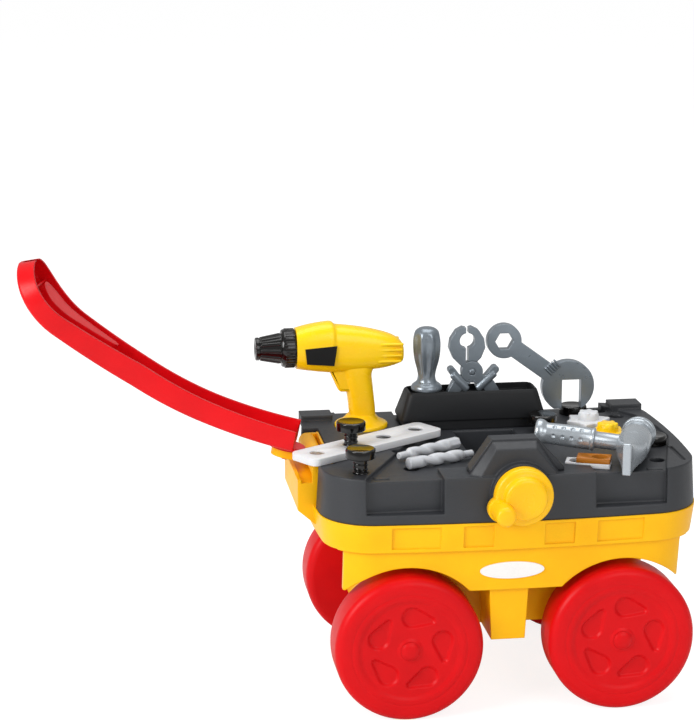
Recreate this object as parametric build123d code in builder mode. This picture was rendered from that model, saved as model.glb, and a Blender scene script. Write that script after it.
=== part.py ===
from build123d import *
import os
from math import atan2, cos, degrees, radians, sin, sqrt, tan

# Toy tool bench on wheels. Millimetres. X runs along the length (-X is the pulled end),
# -Y is the side with the vice crank, Z is up, and the floor is Z = 0.

# ---------------------------------------------------------------- origin
ORIGIN_X = -114.5       # middle of the whole outline, handle and crank included
ORIGIN_Y = -15.3

# ---------------------------------------------------------------- shared clearances
RUN_FIT = 0.05          # radial play of every turning or sliding shaft
SEAT_GAP = 0.1          # parts laid on one another
LOOSE = 0.3             # radial play of pieces dropped into holes
WALL = 3.0              # moulded wall of the tub and the lid

# ---------------------------------------------------------------- wheels and axles
WHEEL_R = 60.0
WHEEL_W = 38.0
WHEEL_EDGE = 7.0
WHEEL_TYRE_IN_R = 41.0
WHEEL_DISH = 1.6
GROOVE_R = 46.5
GROOVE_W = 1.4
GROOVE_DEPTH = 0.7
WHEEL_FACE_T = 6.0
WHEEL_SHELL = 5.0
WHEEL_HUB_R = 10.0
WINDOW_COUNT = 5
WINDOW_R_MID = 25.0
WINDOW_WIDE = 6.2
WINDOW_TIP = 1.0
WINDOW_REACH = 15.0
WINDOW_LEAD = 9.0
WINDOW_SLANT = 98.0
WINDOW_DEPTH = 2.4
WINDOW_PHASE = 5.0
AXLE_R = 3.0
WHEELBASE = 173.0
TRACK_OUT = 222.0       # over the two wheel faces
CAP_R = 7.5
CAP_T = 2.4
CAP_BORE_DEPTH = 1.4
AXLE_Z = WHEEL_R
WHEEL_Y_OUT = TRACK_OUT / 2
WHEEL_Y_MID = WHEEL_Y_OUT - WHEEL_W / 2
AXLE_HALF = WHEEL_Y_OUT + CAP_BORE_DEPTH

# ---------------------------------------------------------------- footprint of tub and lid
HALF_LEN = 157.0
HALF_WID = 112.3
CORNER_X = 150.5
CORNER_Y = 104.5
CORNER_R = 44.0

# ---------------------------------------------------------------- tub
RIM_Z = 164.0
WAIST_Z = 140.5
SKIRT_Z = 105.0
SHELF_Z = 141.0
BAND_TAPER = 2.9
WAIST_STEP = 3.0
SKIRT_TAPER = 3.6
BOX_Z = 61.0
BOX_HALF_X = 118.0
BOX_HALF_Y = 59.0
BOX_DRAFT = 2.0
ARCH_R = 66.5
END_CUT_HALF_Y = 90.0
END_CUT_L = 40.0
CARRIER_INSET = 3.0        # carriers stop this far inside the box's sides
CARRIER_OVERLAP = 4.0      # and reach this far up into its floor
BOX_INNER_STEP = 6.0       # the box's inside starts this far over its floor
LEG_X0, LEG_X1 = -23.0, 12.0
LEG_FOOT_X0, LEG_FOOT_X1 = -18.5, 9.0
LEG_TOP_Y = 102.0
LEG_FOOT_Y = 97.0
CARRIER_HALF_X = 12.0
CARRIER_Z = 50.0
PANEL_DEPTH = 1.5
PANEL_Z0, PANEL_Z1 = 143.5, 161.5
PANEL_SPANS = ((-101.0, -62.5), (-44.2, -20.2), (20.9, 45.2), (64.0, 102.0))

# ---------------------------------------------------------------- hitch and handle
DRUM_X = -149.3
DRUM_Z = 192.3
DRUM_R = 7.5
DRUM_HALF = 42.0
TRUNNION_R = 3.0
CHEEK_T = 3.6
CHEEK_R = 7.0
HITCH_OUT_X = -168.0
HITCH_IN_X = -139.5
HITCH_WALL = 1.8
HITCH_FLOOR_Z = 182.6
HITCH_LIP_Z = 185.3
HITCH_LOW_Z = 160.0
HITCH_TOE_Z = 148.0
HITCH_HALF_Y = DRUM_HALF + SEAT_GAP * 3 + CHEEK_T
SWING_X = -171.0        # vertical pin of the handle
SWING_DEG = 12.0        # the handle rests turned this far towards +Y
TONGUE_T = 6.5
TONGUE_HALF_Y = 12.0
PIN_R = 2.5
HANDLE_T = 3.0
HANDLE_ROOT_X = -165.0
HANDLE_ROOT_Z = 202.0
HANDLE_LEN = 282.0
HANDLE_SLOPES = (12.0, 20.5, 32.5, 37.5, 81.0)
HANDLE_HALF_W = (24.8, 19.3, 17.0, 28.0, 50.0)
HANDLE_DEPTHS = (16.6, 18.2, 19.9, 17.2, 14.5)
HANDLE_CAP_LEN = 63.0
PATH_STEPS = 40
ROOT_R = 15.0
SLOT_MID = 205.0
SLOT_REACH = 58.0
SLOT_R = 12.5
SLOT_TIP_R = 3.0
SLOT_RIM = 2.2
SLOT_LIP = 2.0
SLOT_CUT = 120.0           # length of the cutter through the grip

# ---------------------------------------------------------------- lid
LID_Z = RIM_Z + SEAT_GAP
PRESS_GAP = 0.02           # between a film or pin and what it is pressed on
TAB_HALF_X, TAB_HALF_Y, TAB_SUNK, TAB_H = 6.0, 2.5, 0.5, 0.6
JAW_HALF_X, JAW_EDGE_H = 38.0, 3.0
JAW_TOP_X = (-21.0, 16.0)
TRIGGER_X, TRIGGER_Z, TRIGGER_HALF_Y = (-122.5, -108.0), (231.5, 249.0), 5.0
DRILL_SOFTEN = 0.9         # share of the full corner used on tall sections
NOSE_H, NOSE_R = 20.0, 6.0
LID_TOP = 200.5
FLOOR_Z = 197.2
LID_INSET = 0.8
LID_TOP_INSET = 3.0
LID_CAVITY_INSET = 6.0
LEDGE_Z = 172.0
LEDGE_DEEP = 12.6
LIP_INSET = 5.4
TILE_X, TILE_HALF_X = 136.5, 13.5
TILE_Y0, TILE_Y1 = 77.5, 97.0
TILE_Z = 205.0
BLOCK_X0, BLOCK_X1 = -60.0, 62.0
BAY_Y = -99.4
REAR_Y = 100.0
REAR_BAY_X = 118.0
FLOOR_OUTLINE = (
    (-121.0, -120.0), (-121.0, BAY_Y), (-91.0, -41.0), (-74.0, -5.0), (-68.0, 35.0),
    (-68.0, 120.0), (116.0, 120.0), (118.0, 92.0), (126.0, 82.0), (139.0, 61.0), (148.0, 20.0),
    (149.0, -9.0), (121.0, BAY_Y), (121.0, -120.0), (62.0, -120.0), (62.0, -87.0), (38.0, -78.0),
    (-60.0, -78.0), (-60.0, -120.0),
)
HOLES = (
    (114.0, 88.0), (125.0, 68.0), (116.0, 21.0), (122.0, -69.0), (-82.0, -25.0), (-79.0, -66.0),
    (-122.5, -82.0), (-121.3, -20.8), (50.0, 29.0), (90.0, 84.0), (131.5, -21.0),
)
TABS = ((-107.0, -90.0), (113.0, -94.0))
DRILL_SEAT = 2.0
NOTCH_X = -138.8
NOTCH_HALF_Y = 54.0
HOLE_R = 6.3
HOLE_BOSS_R = 9.5
HOLE_BOSS_DEEP = 14.0
LIP_DEEP = 6.0
DRILL_X, DRILL_Y = -101.0, 59.0
DRILL_BASE_R = 22.5
GROOVE_X = 140.4

# ---------------------------------------------------------------- vice
SCREW_X = 1.0
SCREW_Z = 187.0
SCREW_R = 5.0
TRENCH_HALF_X = 26.0
TRENCH_Z = 176.0
TRENCH_Y0, TRENCH_Y1 = -99.5, 40.0
COLLAR_R = 24.5
COLLAR_Y = -114.0
HOUSING_Y = -107.0
HUMP_Z = 228.0
CHEEK_BACK = ((-40.0, -21.0), (15.0, 34.0))     # foot and shoulder at each end, at the jaw side
CHEEK_BACK_Z = 227.0
CHEEK_FRONT = ((-31.0, -19.0), (13.5, 31.5))    # the same at the crank side
CHEEK_FRONT_Z = 222.0
JAW_T = 13.5
JAW_Y0 = TRENCH_Y0 + 1.0
JAW_Y1 = JAW_Y0 + JAW_T
JAW_TRAVEL = 25.0
CRANK_R = 23.5
CRANK_T = 9.0
CRANK_Y = COLLAR_Y - 1.0
BUTTON_R = 17.5
BUTTON_T = 7.0
LOBE_DX, LOBE_DZ = -16.5, -8.5
LOBE_R = 12.5
PEG_R = 6.75
PEG_LEN = 20.0
SOCKET_DEEP = 8.0
SCREW_TAIL = 5.0
RETAINER_R = 8.5
RETAINER_T = 2.4

# ---------------------------------------------------------------- tool rack
RACK_X = -6.0
RACK_BASE_X, RACK_BASE_Y0, RACK_BASE_Y1 = 63.0, 43.5, 84.0
RACK_FOOT_X, RACK_FOOT_Y0, RACK_FOOT_Y1 = 61.0, 45.0, 82.0
RACK_TOP_X, RACK_TOP_Y0, RACK_TOP_Y1 = 56.0, 47.0, 76.0
RACK_PEG_X = 53.0
RACK_PEG_Y = 63.0
RACK_PEG_R = 3.0
PEG_BOSS_R = 6.0
DRIVER_X = -44.4
DRIVER_SHAFT_R = 3.5
PLIERS_SLOT_X0, PLIERS_SLOT_X1 = -36.0, 23.0
SPARE_SLOT_X0, SPARE_SLOT_X1 = 28.0, 44.0
RACK_STEP_Z = 205.5
RACK_TOP_Z = 229.5
RACK_DECK_Z = 224.0
RACK_WALL = 2.2
RACK_Y = 61.0
SLOT_Y0, SLOT_Y1 = 53.5, 69.0

# ---------------------------------------------------------------- hand tools
DRILL_W = 32.0
DRILL_AXIS_Z = 270.0
DRILL_SECTIONS = (      # along X: place, bottom, top, width, corner radius
    (-157.0, 252.4, 287.0, 32.0, 12.0),
    (-127.0, 248.2, 292.0, 32.0, 12.0),
    (-123.0, 248.4, 289.4, 32.0, 12.0),
    (-85.0, 250.0, 283.4, 30.0, 12.0),
    (-65.4, 256.0, 272.0, 20.0, 7.0),
)
GRIP_TOP_X, GRIP_TOP_Z, GRIP_TOP_L = -105.0, 256.0, 25.0
GRIP_LOW_X, GRIP_LOW_Z, GRIP_LOW_L = -99.8, 207.0, 22.0
GRIP_W = 22.0
DRILL_FOOT_T = 4.5
CHUCK_GAP = 0.3
CHUCK_PROFILE = ((-191.0, 9.8), (-169.0, 14.0), (-169.0, 15.6), (-166.0, 16.8), (-158.5, 16.8))
CHUCK_BORE_R = 4.0
CHUCK_BORE_L = 14.0
SPINDLE_R = 4.0
SPINDLE_X0, SPINDLE_X1 = -170.0, -140.0
LABEL_T = 0.6
LABEL_POINTS = ((-149.0, 259.0), (-126.0, 257.0), (-123.5, 274.0), (-150.5, 272.0))
DRIVER_PROFILE = (      # radius and height up the screwdriver handle
    (13.0, 229.6), (13.0, 233.2), (11.2, 235.8), (8.4, 237.5), (7.8, 243.0), (11.0, 252.0),
    (12.5, 264.0), (12.0, 274.0), (8.5, 282.0), (4.0, 284.0),
)
DRIVER_TIP_Z = 200.0
FLUTES = 8
FLUTE_R = 2.0
PLIERS_T = 8.0
PLIERS_X, PLIERS_Z = -5.5, 244.2
PLIERS_BOSS_R = 9.3
PLIERS_PIN_R = 3.0
PLIERS_REACH = 46.6     # the fixed half stands on the lid
ARM_LIFT = 2.4          # the moving half clears it while closing
PLIERS_JAW = (          # out from the pivot, up from the pivot
    (5.6, 6.5), (5.6, 38.6), (8.5, 39.3), (14.0, 36.5), (18.8, 29.0), (20.0, 21.0), (16.5, 12.3),
    (8.5, 4.3),
)
PLIERS_GRIP = (         # out from the pivot, down from the pivot
    (-4.0, 7.5), (5.0, -1.0), (10.0, 3.5), (19.0, 8.5), (24.6, 18.0), (26.4, 32.0),
    (25.8, PLIERS_REACH), (17.0, PLIERS_REACH), (15.2, 32.0), (13.2, 18.0), (7.5, 13.0), (1.0, 9.2),
)
GUARD_IN, GUARD_OUT, GUARD_R = (6.7, -13.6), (20.1, 1.5), 3.2
PLIERS_LEFT_SCALE = 0.87
MOUTH_Z, MOUTH_R = 27.5, 6.6
MOUTH_MID = -4.5
WRENCH_Y, WRENCH_T = 74.0, 8.0
RING_X, RING_Z, RING_R, RING_AF = 25.0, 267.0, 15.0, 14.0
HEAD_X, HEAD_Z, HEAD_R = 82.0, 225.0, 23.0
WRENCH_GAP_X, WRENCH_GAP_W, WRENCH_GAP_Z = 85.0, 17.0, 231.0
WRENCH_SHANK_W = 15.0
HAMMER_FACE_X, HAMMER_FACE_Y, HAMMER_Z = 116.0, -36.0, 211.5
HAMMER_TURN = 247.7     # heading of the head axis from face to peen
HAMMER_FACE_R = 14.2
HAMMER_NECK_R = 11.5
HAMMER_HUB_R = 13.5
HAMMER_FACE_T = 9.0
HAMMER_HUB_S0, HAMMER_HUB_S1 = 22.0, 50.0
HAMMER_LEN = 84.3
PEEN_T, PEEN_H = 7.0, 26.0
SHANK_S = 37.9          # handle axis crosses the head here
SHANK_LEN = 80.0
SHANK_TURN = 157.9
SHANK_RISE = 4.1
SHANK_R = 6.75
SHANK_GRIP_R = 9.5
SHANK_BUTT_R = 11.0
SHANK_IN = 3.0
SHANK_GRIP_S0, SHANK_GRIP_S1 = 33.0, 73.0

# ---------------------------------------------------------------- bolts, plates, nuts, bits
BOLT_HEAD_R = 12.0
BOLT_HEAD_H = 8.0
BOLT_R = HOLE_R - LOOSE
BOLT_LEN = 22.0
BOLT_SPOTS = (          # place on the lid and height of the underside of the head
    (-121.3, -20.8, 218.6), (-122.5, -82.0, 213.0), (50.0, 29.0, 205.2),
    (90.0, 84.0, FLOOR_Z + SEAT_GAP), (131.5, -21.0, FLOOR_Z + SEAT_GAP),
)
PLATE_W, PLATE_T = 32.0, 6.0
PLATE_X, PLATE_Y, PLATE_TURN = -121.3, -20.8, 33.4
PLATE_PITCH = 36.0
PLATE_HOLES = (-1, 0, 1, 2)
PLATE_TAIL, PLATE_NOSE = 16.0, 17.5
STRIP_L, STRIP_W, STRIP_T = 36.0, 16.0, 4.0
STRIP_X, STRIP_Y, STRIP_TURN = 63.0, -77.0, -20.0
STRIP_HOLE_X = 9.0
STRIP_STEP = 9.0
NUT_POINTS = 6
NUT_SPOTS = (("star_nut_white", 94.0, 45.0, 20.5, 10.0), ("star_nut_yellow", 101.0, 7.0, 18.5, 40.0))
NUT_FLANGE_T = 5.0
NUT_ROOT = 0.72
NUT_HUB_R, NUT_HUB_H = 9.0, 7.0
NUT_BORE_R, NUT_BORE_H = 6.3, 8.0
BIT_R = 4.7
BIT_TIP_R = 2.8
BIT_HEX_AF = 9.0


def footprint(inset=0.0):
    """The bowed, round-cornered plan shared by the tub and the lid."""
    corner_x, corner_y = CORNER_X - inset, CORNER_Y - inset
    half_len, half_wid = HALF_LEN - inset, HALF_WID - inset
    with BuildSketch() as plan:
        with BuildLine():
            ThreePointArc((-corner_x, -corner_y), (0, -half_wid), (corner_x, -corner_y))
            ThreePointArc((corner_x, -corner_y), (half_len, 0), (corner_x, corner_y))
            ThreePointArc((corner_x, corner_y), (0, half_wid), (-corner_x, corner_y))
            ThreePointArc((-corner_x, corner_y), (-half_len, 0), (-corner_x, -corner_y))
        make_face()
        fillet(plan.vertices(), CORNER_R - inset)
    return plan.sketch


def teardrop(r_wide, r_tip, reach):
    """A drop outline: wide circle at the origin, small circle out along +X."""
    with BuildSketch() as drop:
        Circle(r_wide)
        with Locations((reach, 0)):
            Circle(r_tip)
        make_hull()
    return drop.sketch


def rect(x0, y0, x1, y1, mode=Mode.ADD):
    """A rectangle between two corners of the current sketch plane."""
    with Locations(((x0 + x1) / 2, (y0 + y1) / 2)):
        Rectangle(x1 - x0, y1 - y0, mode=mode)


def block(x0, x1, y0, y1, z0, z1, mode=Mode.ADD):
    """A box between two opposite corners."""
    with Locations(((x0 + x1) / 2, (y0 + y1) / 2, (z0 + z1) / 2)):
        Box(x1 - x0, y1 - y0, z1 - z0, mode=mode)


def side_plane(y, x=0.0, z=0.0):
    """Sketch plane facing -Y with X to the right and Z up."""
    return Plane(origin=(x, y, z), x_dir=(1, 0, 0), z_dir=(0, -1, 0))


def save(part, label):
    """Move a finished piece to the shared origin, label it and write it out."""
    placed = part.moved(Location((-ORIGIN_X, -ORIGIN_Y, 0)))
    placed.label = label
    export_step(placed, f"parts/{label}.step")


os.makedirs("parts", exist_ok=True)

# ================================================================ tub
SKIRT_IN = BAND_TAPER + WAIST_STEP
with BuildPart() as tub:
    with BuildSketch(Plane.XY.offset(SKIRT_Z)):
        add(footprint(SKIRT_IN + SKIRT_TAPER))
    with BuildSketch(Plane.XY.offset(WAIST_Z)):
        add(footprint(SKIRT_IN))
    loft(ruled=True)
    with BuildSketch(Plane.XY.offset(WAIST_Z)):
        add(footprint(BAND_TAPER))
    with BuildSketch(Plane.XY.offset(RIM_Z)):
        add(footprint())
    loft(ruled=True)
    # hollow under the shelf, leaving the skirt
    with BuildSketch(Plane.XY.offset(SKIRT_Z)):
        add(footprint(SKIRT_IN + SKIRT_TAPER + WALL))
    with BuildSketch(Plane.XY.offset(SHELF_Z)):
        add(footprint(SKIRT_IN + WALL))
    loft(ruled=True, mode=Mode.SUBTRACT)
    # wheel arches in both skirts
    for y_side in (-1, 1):
        for x_side in (-1, 1):
            with Locations((x_side * WHEELBASE / 2, y_side * (BOX_HALF_Y + HALF_WID) / 2, AXLE_Z)):
                Cylinder(
                    ARCH_R, HALF_WID - BOX_HALF_Y, rotation=(90, 0, 0), mode=Mode.SUBTRACT
                )
    # open ends between the corner posts
    for x_side in (-1, 1):
        with Locations((x_side * HALF_LEN, 0, (SKIRT_Z + SHELF_Z) / 2)):
            Box(END_CUT_L, 2 * END_CUT_HALF_Y, SHELF_Z - SKIRT_Z, mode=Mode.SUBTRACT)
    # storage box between the wheels
    with BuildSketch(Plane.XY.offset(BOX_Z)):
        RectangleRounded(2 * (BOX_HALF_X - BOX_DRAFT), 2 * (BOX_HALF_Y - BOX_DRAFT), 10)
    with BuildSketch(Plane.XY.offset(SHELF_Z + WALL)):
        RectangleRounded(2 * BOX_HALF_X, 2 * BOX_HALF_Y, 10)
    loft(ruled=True)
    # centre legs on both long sides
    for y_side in (-1, 1):
        with BuildSketch(Plane.XY.offset(BOX_Z)):
            rect(LEG_FOOT_X0, min(y_side * 50, y_side * LEG_FOOT_Y),
                 LEG_FOOT_X1, max(y_side * 50, y_side * LEG_FOOT_Y))
        with BuildSketch(Plane.XY.offset(SHELF_Z)):
            rect(LEG_X0, min(y_side * 50, y_side * LEG_TOP_Y),
                 LEG_X1, max(y_side * 50, y_side * LEG_TOP_Y))
        loft(ruled=True)
    # axle carriers under the box
    for x_side in (-1, 1):
        block(x_side * WHEELBASE / 2 - CARRIER_HALF_X, x_side * WHEELBASE / 2 + CARRIER_HALF_X,
              -BOX_HALF_Y + CARRIER_INSET, BOX_HALF_Y - CARRIER_INSET, CARRIER_Z,
              BOX_Z + CARRIER_OVERLAP)
    # inside of the tray, the box and the legs
    with BuildSketch(Plane.XY.offset(SHELF_Z + WALL)):
        add(footprint(SKIRT_IN + WALL))
    with BuildSketch(Plane.XY.offset(RIM_Z)):
        add(footprint(WALL))
    loft(ruled=True, mode=Mode.SUBTRACT)
    with BuildSketch(Plane.XY.offset(BOX_Z + WALL + BOX_INNER_STEP)):
        RectangleRounded(2 * (BOX_HALF_X - BOX_DRAFT - WALL), 2 * (BOX_HALF_Y - BOX_DRAFT - WALL), 8)
    with BuildSketch(Plane.XY.offset(SHELF_Z + WALL)):
        RectangleRounded(2 * (BOX_HALF_X - WALL), 2 * (BOX_HALF_Y - WALL), 8)
    loft(ruled=True, mode=Mode.SUBTRACT)
    for y_side in (-1, 1):
        y_near = y_side * (BOX_HALF_Y + 1)
        with BuildSketch(Plane.XY.offset(BOX_Z + WALL)):
            y_far = y_side * (LEG_FOOT_Y - WALL)
            rect(LEG_FOOT_X0 + WALL, min(y_near, y_far), LEG_FOOT_X1 - WALL, max(y_near, y_far))
        with BuildSketch(Plane.XY.offset(SHELF_Z + WALL)):
            y_far = y_side * (LEG_TOP_Y - WALL)
            rect(LEG_X0 + WALL, min(y_near, y_far), LEG_X1 - WALL, max(y_near, y_far))
        loft(ruled=True, mode=Mode.SUBTRACT)
    # hitch housing on the pulled end
    with BuildSketch(side_plane(HITCH_HALF_Y)):
        with BuildLine():
            Polyline(
                (HITCH_OUT_X, HITCH_FLOOR_Z), (HITCH_OUT_X, HITCH_LOW_Z),
                (-HALF_LEN + BAND_TAPER, HITCH_TOE_Z), (HITCH_IN_X, HITCH_TOE_Z),
                (HITCH_IN_X, DRUM_Z + DRUM_R), (HITCH_IN_X - HITCH_WALL, DRUM_Z + DRUM_R),
                (HITCH_IN_X - HITCH_WALL, HITCH_FLOOR_Z), close=True,
            )
        make_face()
    extrude(amount=2 * HITCH_HALF_Y)
    for y_side in (-1, 1):
        y_out = HITCH_HALF_Y if y_side > 0 else -HITCH_HALF_Y + CHEEK_T
        with BuildSketch(side_plane(y_out)):
            with Locations((DRUM_X, DRUM_Z)):
                Circle(CHEEK_R)
            rect(DRUM_X - CHEEK_R, HITCH_FLOOR_Z - 1, HITCH_IN_X, DRUM_Z)
            rect(DRUM_X, HITCH_FLOOR_Z - 1, HITCH_IN_X, DRUM_Z + CHEEK_R)
        extrude(amount=CHEEK_T)
    # lip the handle comes to rest on
    block(HITCH_OUT_X, HITCH_OUT_X + WALL, -HITCH_HALF_Y, HITCH_HALF_Y, HITCH_FLOOR_Z - 1, HITCH_LIP_Z)
    # hollow of the housing, open to the tray
    block(HITCH_OUT_X + WALL, HITCH_IN_X - HITCH_WALL - WALL, -DRUM_HALF, DRUM_HALF,
          RIM_Z - 1, HITCH_FLOOR_Z - WALL, mode=Mode.SUBTRACT)
    block(-HALF_LEN + WALL + BAND_TAPER, HITCH_IN_X - HITCH_WALL - WALL, -DRUM_HALF, DRUM_HALF,
          SHELF_Z + WALL, RIM_Z, mode=Mode.SUBTRACT)
    # trunnion bores and axle bores
    with Locations((DRUM_X, 0, DRUM_Z)):
        Cylinder(TRUNNION_R + RUN_FIT, 2 * HITCH_HALF_Y, rotation=(90, 0, 0), mode=Mode.SUBTRACT)
    for x_side in (-1, 1):
        with Locations((x_side * WHEELBASE / 2, 0, AXLE_Z)):
            Cylinder(AXLE_R + RUN_FIT, 2 * BOX_HALF_Y, rotation=(90, 0, 0), mode=Mode.SUBTRACT)
    # sunk panels in the rim band, leaving the pilasters proud
    band_lean = degrees(atan2(BAND_TAPER, RIM_Z - WAIST_Z))
    for y_side in (-1, 1):
        for x0, x1 in PANEL_SPANS:
            x_mid = (x0 + x1) / 2
            bow = (HALF_WID - CORNER_Y) * (x_mid / CORNER_X) ** 2
            y_mid = HALF_WID - bow - BAND_TAPER * (RIM_Z - (PANEL_Z0 + PANEL_Z1) / 2) / (RIM_Z - WAIST_Z)
            yaw = degrees(2 * (HALF_WID - CORNER_Y) * x_mid / CORNER_X ** 2)
            with Locations(
                Location(
                    (x_mid, y_side * y_mid, (PANEL_Z0 + PANEL_Z1) / 2),
                    (-y_side * band_lean, 0, -y_side * yaw),
                )
            ):
                Box(x1 - x0, 2 * PANEL_DEPTH, PANEL_Z1 - PANEL_Z0, mode=Mode.SUBTRACT)
save(tub.part, "tub")

# ================================================================ oval badge on the skirt
BADGE_X, BADGE_Z = -4.0, 122.0
BADGE_RX, BADGE_RZ, BADGE_T = 26.0, 7.2, 0.8
skirt_lean = degrees(atan2(SKIRT_TAPER, WAIST_Z - SKIRT_Z))
badge_y = HALF_WID - SKIRT_IN - SKIRT_TAPER * (WAIST_Z - BADGE_Z) / (WAIST_Z - SKIRT_Z)
badge_plane = side_plane(-badge_y - PRESS_GAP, BADGE_X, BADGE_Z).rotated((skirt_lean, 0, 0))
with BuildPart() as badge:
    with BuildSketch(badge_plane):
        Ellipse(BADGE_RX, BADGE_RZ)
    extrude(amount=BADGE_T)
save(badge.part, "oval_badge")

# ================================================================ wheels, axles, caps
def wheel_blank():
    """One blown wheel, hollow and closed, with its axle along Z and its face at the top."""
    with BuildPart() as piece:
        Cylinder(WHEEL_R, WHEEL_W)
        rims = piece.edges().filter_by(GeomType.CIRCLE)
        fillet(rims, WHEEL_EDGE)
        top = WHEEL_W / 2
        with BuildSketch(Plane.XY.offset(top)):
            Circle(WHEEL_TYRE_IN_R)
        extrude(amount=-WHEEL_DISH, mode=Mode.SUBTRACT)
        # shallow groove in the tyre band
        with BuildSketch(Plane.XY.offset(top)):
            Circle(GROOVE_R + GROOVE_W / 2)
            Circle(GROOVE_R - GROOVE_W / 2, mode=Mode.SUBTRACT)
        extrude(amount=-GROOVE_DEPTH, mode=Mode.SUBTRACT)
        # sealed hollow of the blown wheel, around its hub tube
        with BuildSketch(Plane.XY.offset(-top + WHEEL_SHELL)):
            Circle(WHEEL_R - WHEEL_SHELL)
            Circle(WHEEL_HUB_R, mode=Mode.SUBTRACT)
        extrude(amount=WHEEL_W - WHEEL_SHELL - WHEEL_DISH - WHEEL_FACE_T, mode=Mode.SUBTRACT)
        # swirling blind windows
        with BuildSketch(Plane.XY.offset(top - WHEEL_DISH)):
            for k in range(WINDOW_COUNT):
                turn = WINDOW_PHASE + WINDOW_LEAD + k * 360 / WINDOW_COUNT
                at = Location((WINDOW_R_MID * cos(radians(turn)), WINDOW_R_MID * sin(radians(turn)), 0))
                with Locations(at * Location((0, 0, 0), (0, 0, turn - WINDOW_SLANT))):
                    add(teardrop(WINDOW_WIDE, WINDOW_TIP, WINDOW_REACH))
        extrude(amount=-WINDOW_DEPTH, mode=Mode.SUBTRACT)
        # hub seat on the face and the axle bore
        with BuildSketch(Plane.XY.offset(top - WHEEL_DISH)):
            Circle(WHEEL_HUB_R)
        extrude(amount=WHEEL_DISH - SEAT_GAP * 3)
        Cylinder(AXLE_R + RUN_FIT, 2 * WHEEL_W, mode=Mode.SUBTRACT)
    return piece.part


wheel_solid = wheel_blank()
for side_name, y_side in (("left", -1), ("right", 1)):
    for end_name, x_side in (("front", -1), ("rear", 1)):
        hub = Location((x_side * WHEELBASE / 2, y_side * WHEEL_Y_MID, AXLE_Z))
        if y_side < 0:
            placed = hub * Location((0, 0, 0), (90, 0, 0)) * wheel_solid
        else:
            placed = hub * Location((0, 0, 0), (-90, 0, 0)) * wheel_solid
        save(placed, f"wheel_{end_name}_{side_name}")

for end_name, x_side in (("front", -1), ("rear", 1)):
    with BuildPart() as axle:
        with Locations((x_side * WHEELBASE / 2, 0, AXLE_Z)):
            Cylinder(AXLE_R, 2 * AXLE_HALF, rotation=(90, 0, 0))
    save(axle.part, f"axle_{end_name}")

with BuildPart() as caps:
    for y_side in (-1, 1):
        for x_side in (-1, 1):
            hub_y = y_side * (WHEEL_Y_OUT + CAP_T / 2)
            with Locations((x_side * WHEELBASE / 2, hub_y, AXLE_Z)):
                Cylinder(CAP_R, CAP_T, rotation=(90, 0, 0))
            bore_y = y_side * (WHEEL_Y_OUT + CAP_BORE_DEPTH / 2)
            with Locations((x_side * WHEELBASE / 2, bore_y, AXLE_Z)):
                Cylinder(AXLE_R + RUN_FIT, CAP_BORE_DEPTH + SEAT_GAP, rotation=(90, 0, 0),
                         mode=Mode.SUBTRACT)
save(caps.part, "hub_caps")

# ================================================================ hitch drum
slope0 = radians(HANDLE_SLOPES[0])
pin_axis_dir = Vector(sin(slope0), 0, cos(slope0))
pin_top_z = HANDLE_ROOT_Z + (HANDLE_ROOT_X - SWING_X) * tan(slope0)
pin_plane = Plane(origin=(SWING_X, 0, pin_top_z), x_dir=(cos(slope0), 0, -sin(slope0)),
                  z_dir=pin_axis_dir)
tongue_plane = pin_plane.offset(-HANDLE_T - LOOSE)
with BuildPart() as drum:
    with Locations((DRUM_X, 0, DRUM_Z)):
        Cylinder(DRUM_R, 2 * DRUM_HALF, rotation=(90, 0, 0))
        Cylinder(TRUNNION_R, 2 * HITCH_HALF_Y, rotation=(90, 0, 0))
    with BuildSketch(tongue_plane):
        Circle(TONGUE_HALF_Y)
        rect(0, -TONGUE_HALF_Y, (DRUM_X - SWING_X) / cos(slope0), TONGUE_HALF_Y)
    extrude(amount=-TONGUE_T)
    with BuildSketch(tongue_plane.offset(1)):
        Circle(PIN_R + RUN_FIT)
    extrude(amount=-TONGUE_T - 2, mode=Mode.SUBTRACT)
save(drum.part, "hitch_drum")

# ================================================================ handle
def blend(values, t):
    """Straight-line blend through evenly spaced values."""
    spot = min(max(t, 0.0), 1.0) * (len(values) - 1)
    k = min(int(spot), len(values) - 2)
    return values[k] + (values[k + 1] - values[k]) * (spot - k)


def handle_plane(s, lift=0.0):
    """Cross-section plane at a distance along the web's underside; local Y points down, off the web."""
    reach, rise = 0.0, 0.0
    step = s / PATH_STEPS
    for k in range(PATH_STEPS):
        slope = radians(blend(HANDLE_SLOPES, (k + 0.5) * step / HANDLE_LEN))
        reach += step * cos(slope)
        rise += step * sin(slope)
    slope = radians(blend(HANDLE_SLOPES, s / HANDLE_LEN))
    here = Vector(HANDLE_ROOT_X - reach, 0, HANDLE_ROOT_Z + rise)
    up = Vector(sin(slope), 0, cos(slope))
    return Plane(origin=here + up * lift, x_dir=(0, 1, 0), z_dir=(-cos(slope), 0, sin(slope)))


def handle_half(s):
    """Half width of the handle at a distance along the web."""
    tail = max(0.0, (s - HANDLE_LEN) / HANDLE_CAP_LEN + 1)
    return blend(HANDLE_HALF_W, s / HANDLE_LEN) * sqrt(max(1 - tail ** 2, 0.0))


def handle_body(inset, top, trim):
    """Lofted body of the handle, set in from its sides and lowered from its top."""
    with BuildPart() as body:
        for s in HANDLE_STATIONS:
            half = handle_half(s) - inset
            if half > trim:
                depth = blend(HANDLE_DEPTHS, s / HANDLE_LEN) + (1 if inset else 0)
                with BuildSketch(handle_plane(s)):
                    with Locations((0, (top - depth) / 2)):
                        Rectangle(2 * half, depth + top)
        loft()
    return body.part


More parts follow.
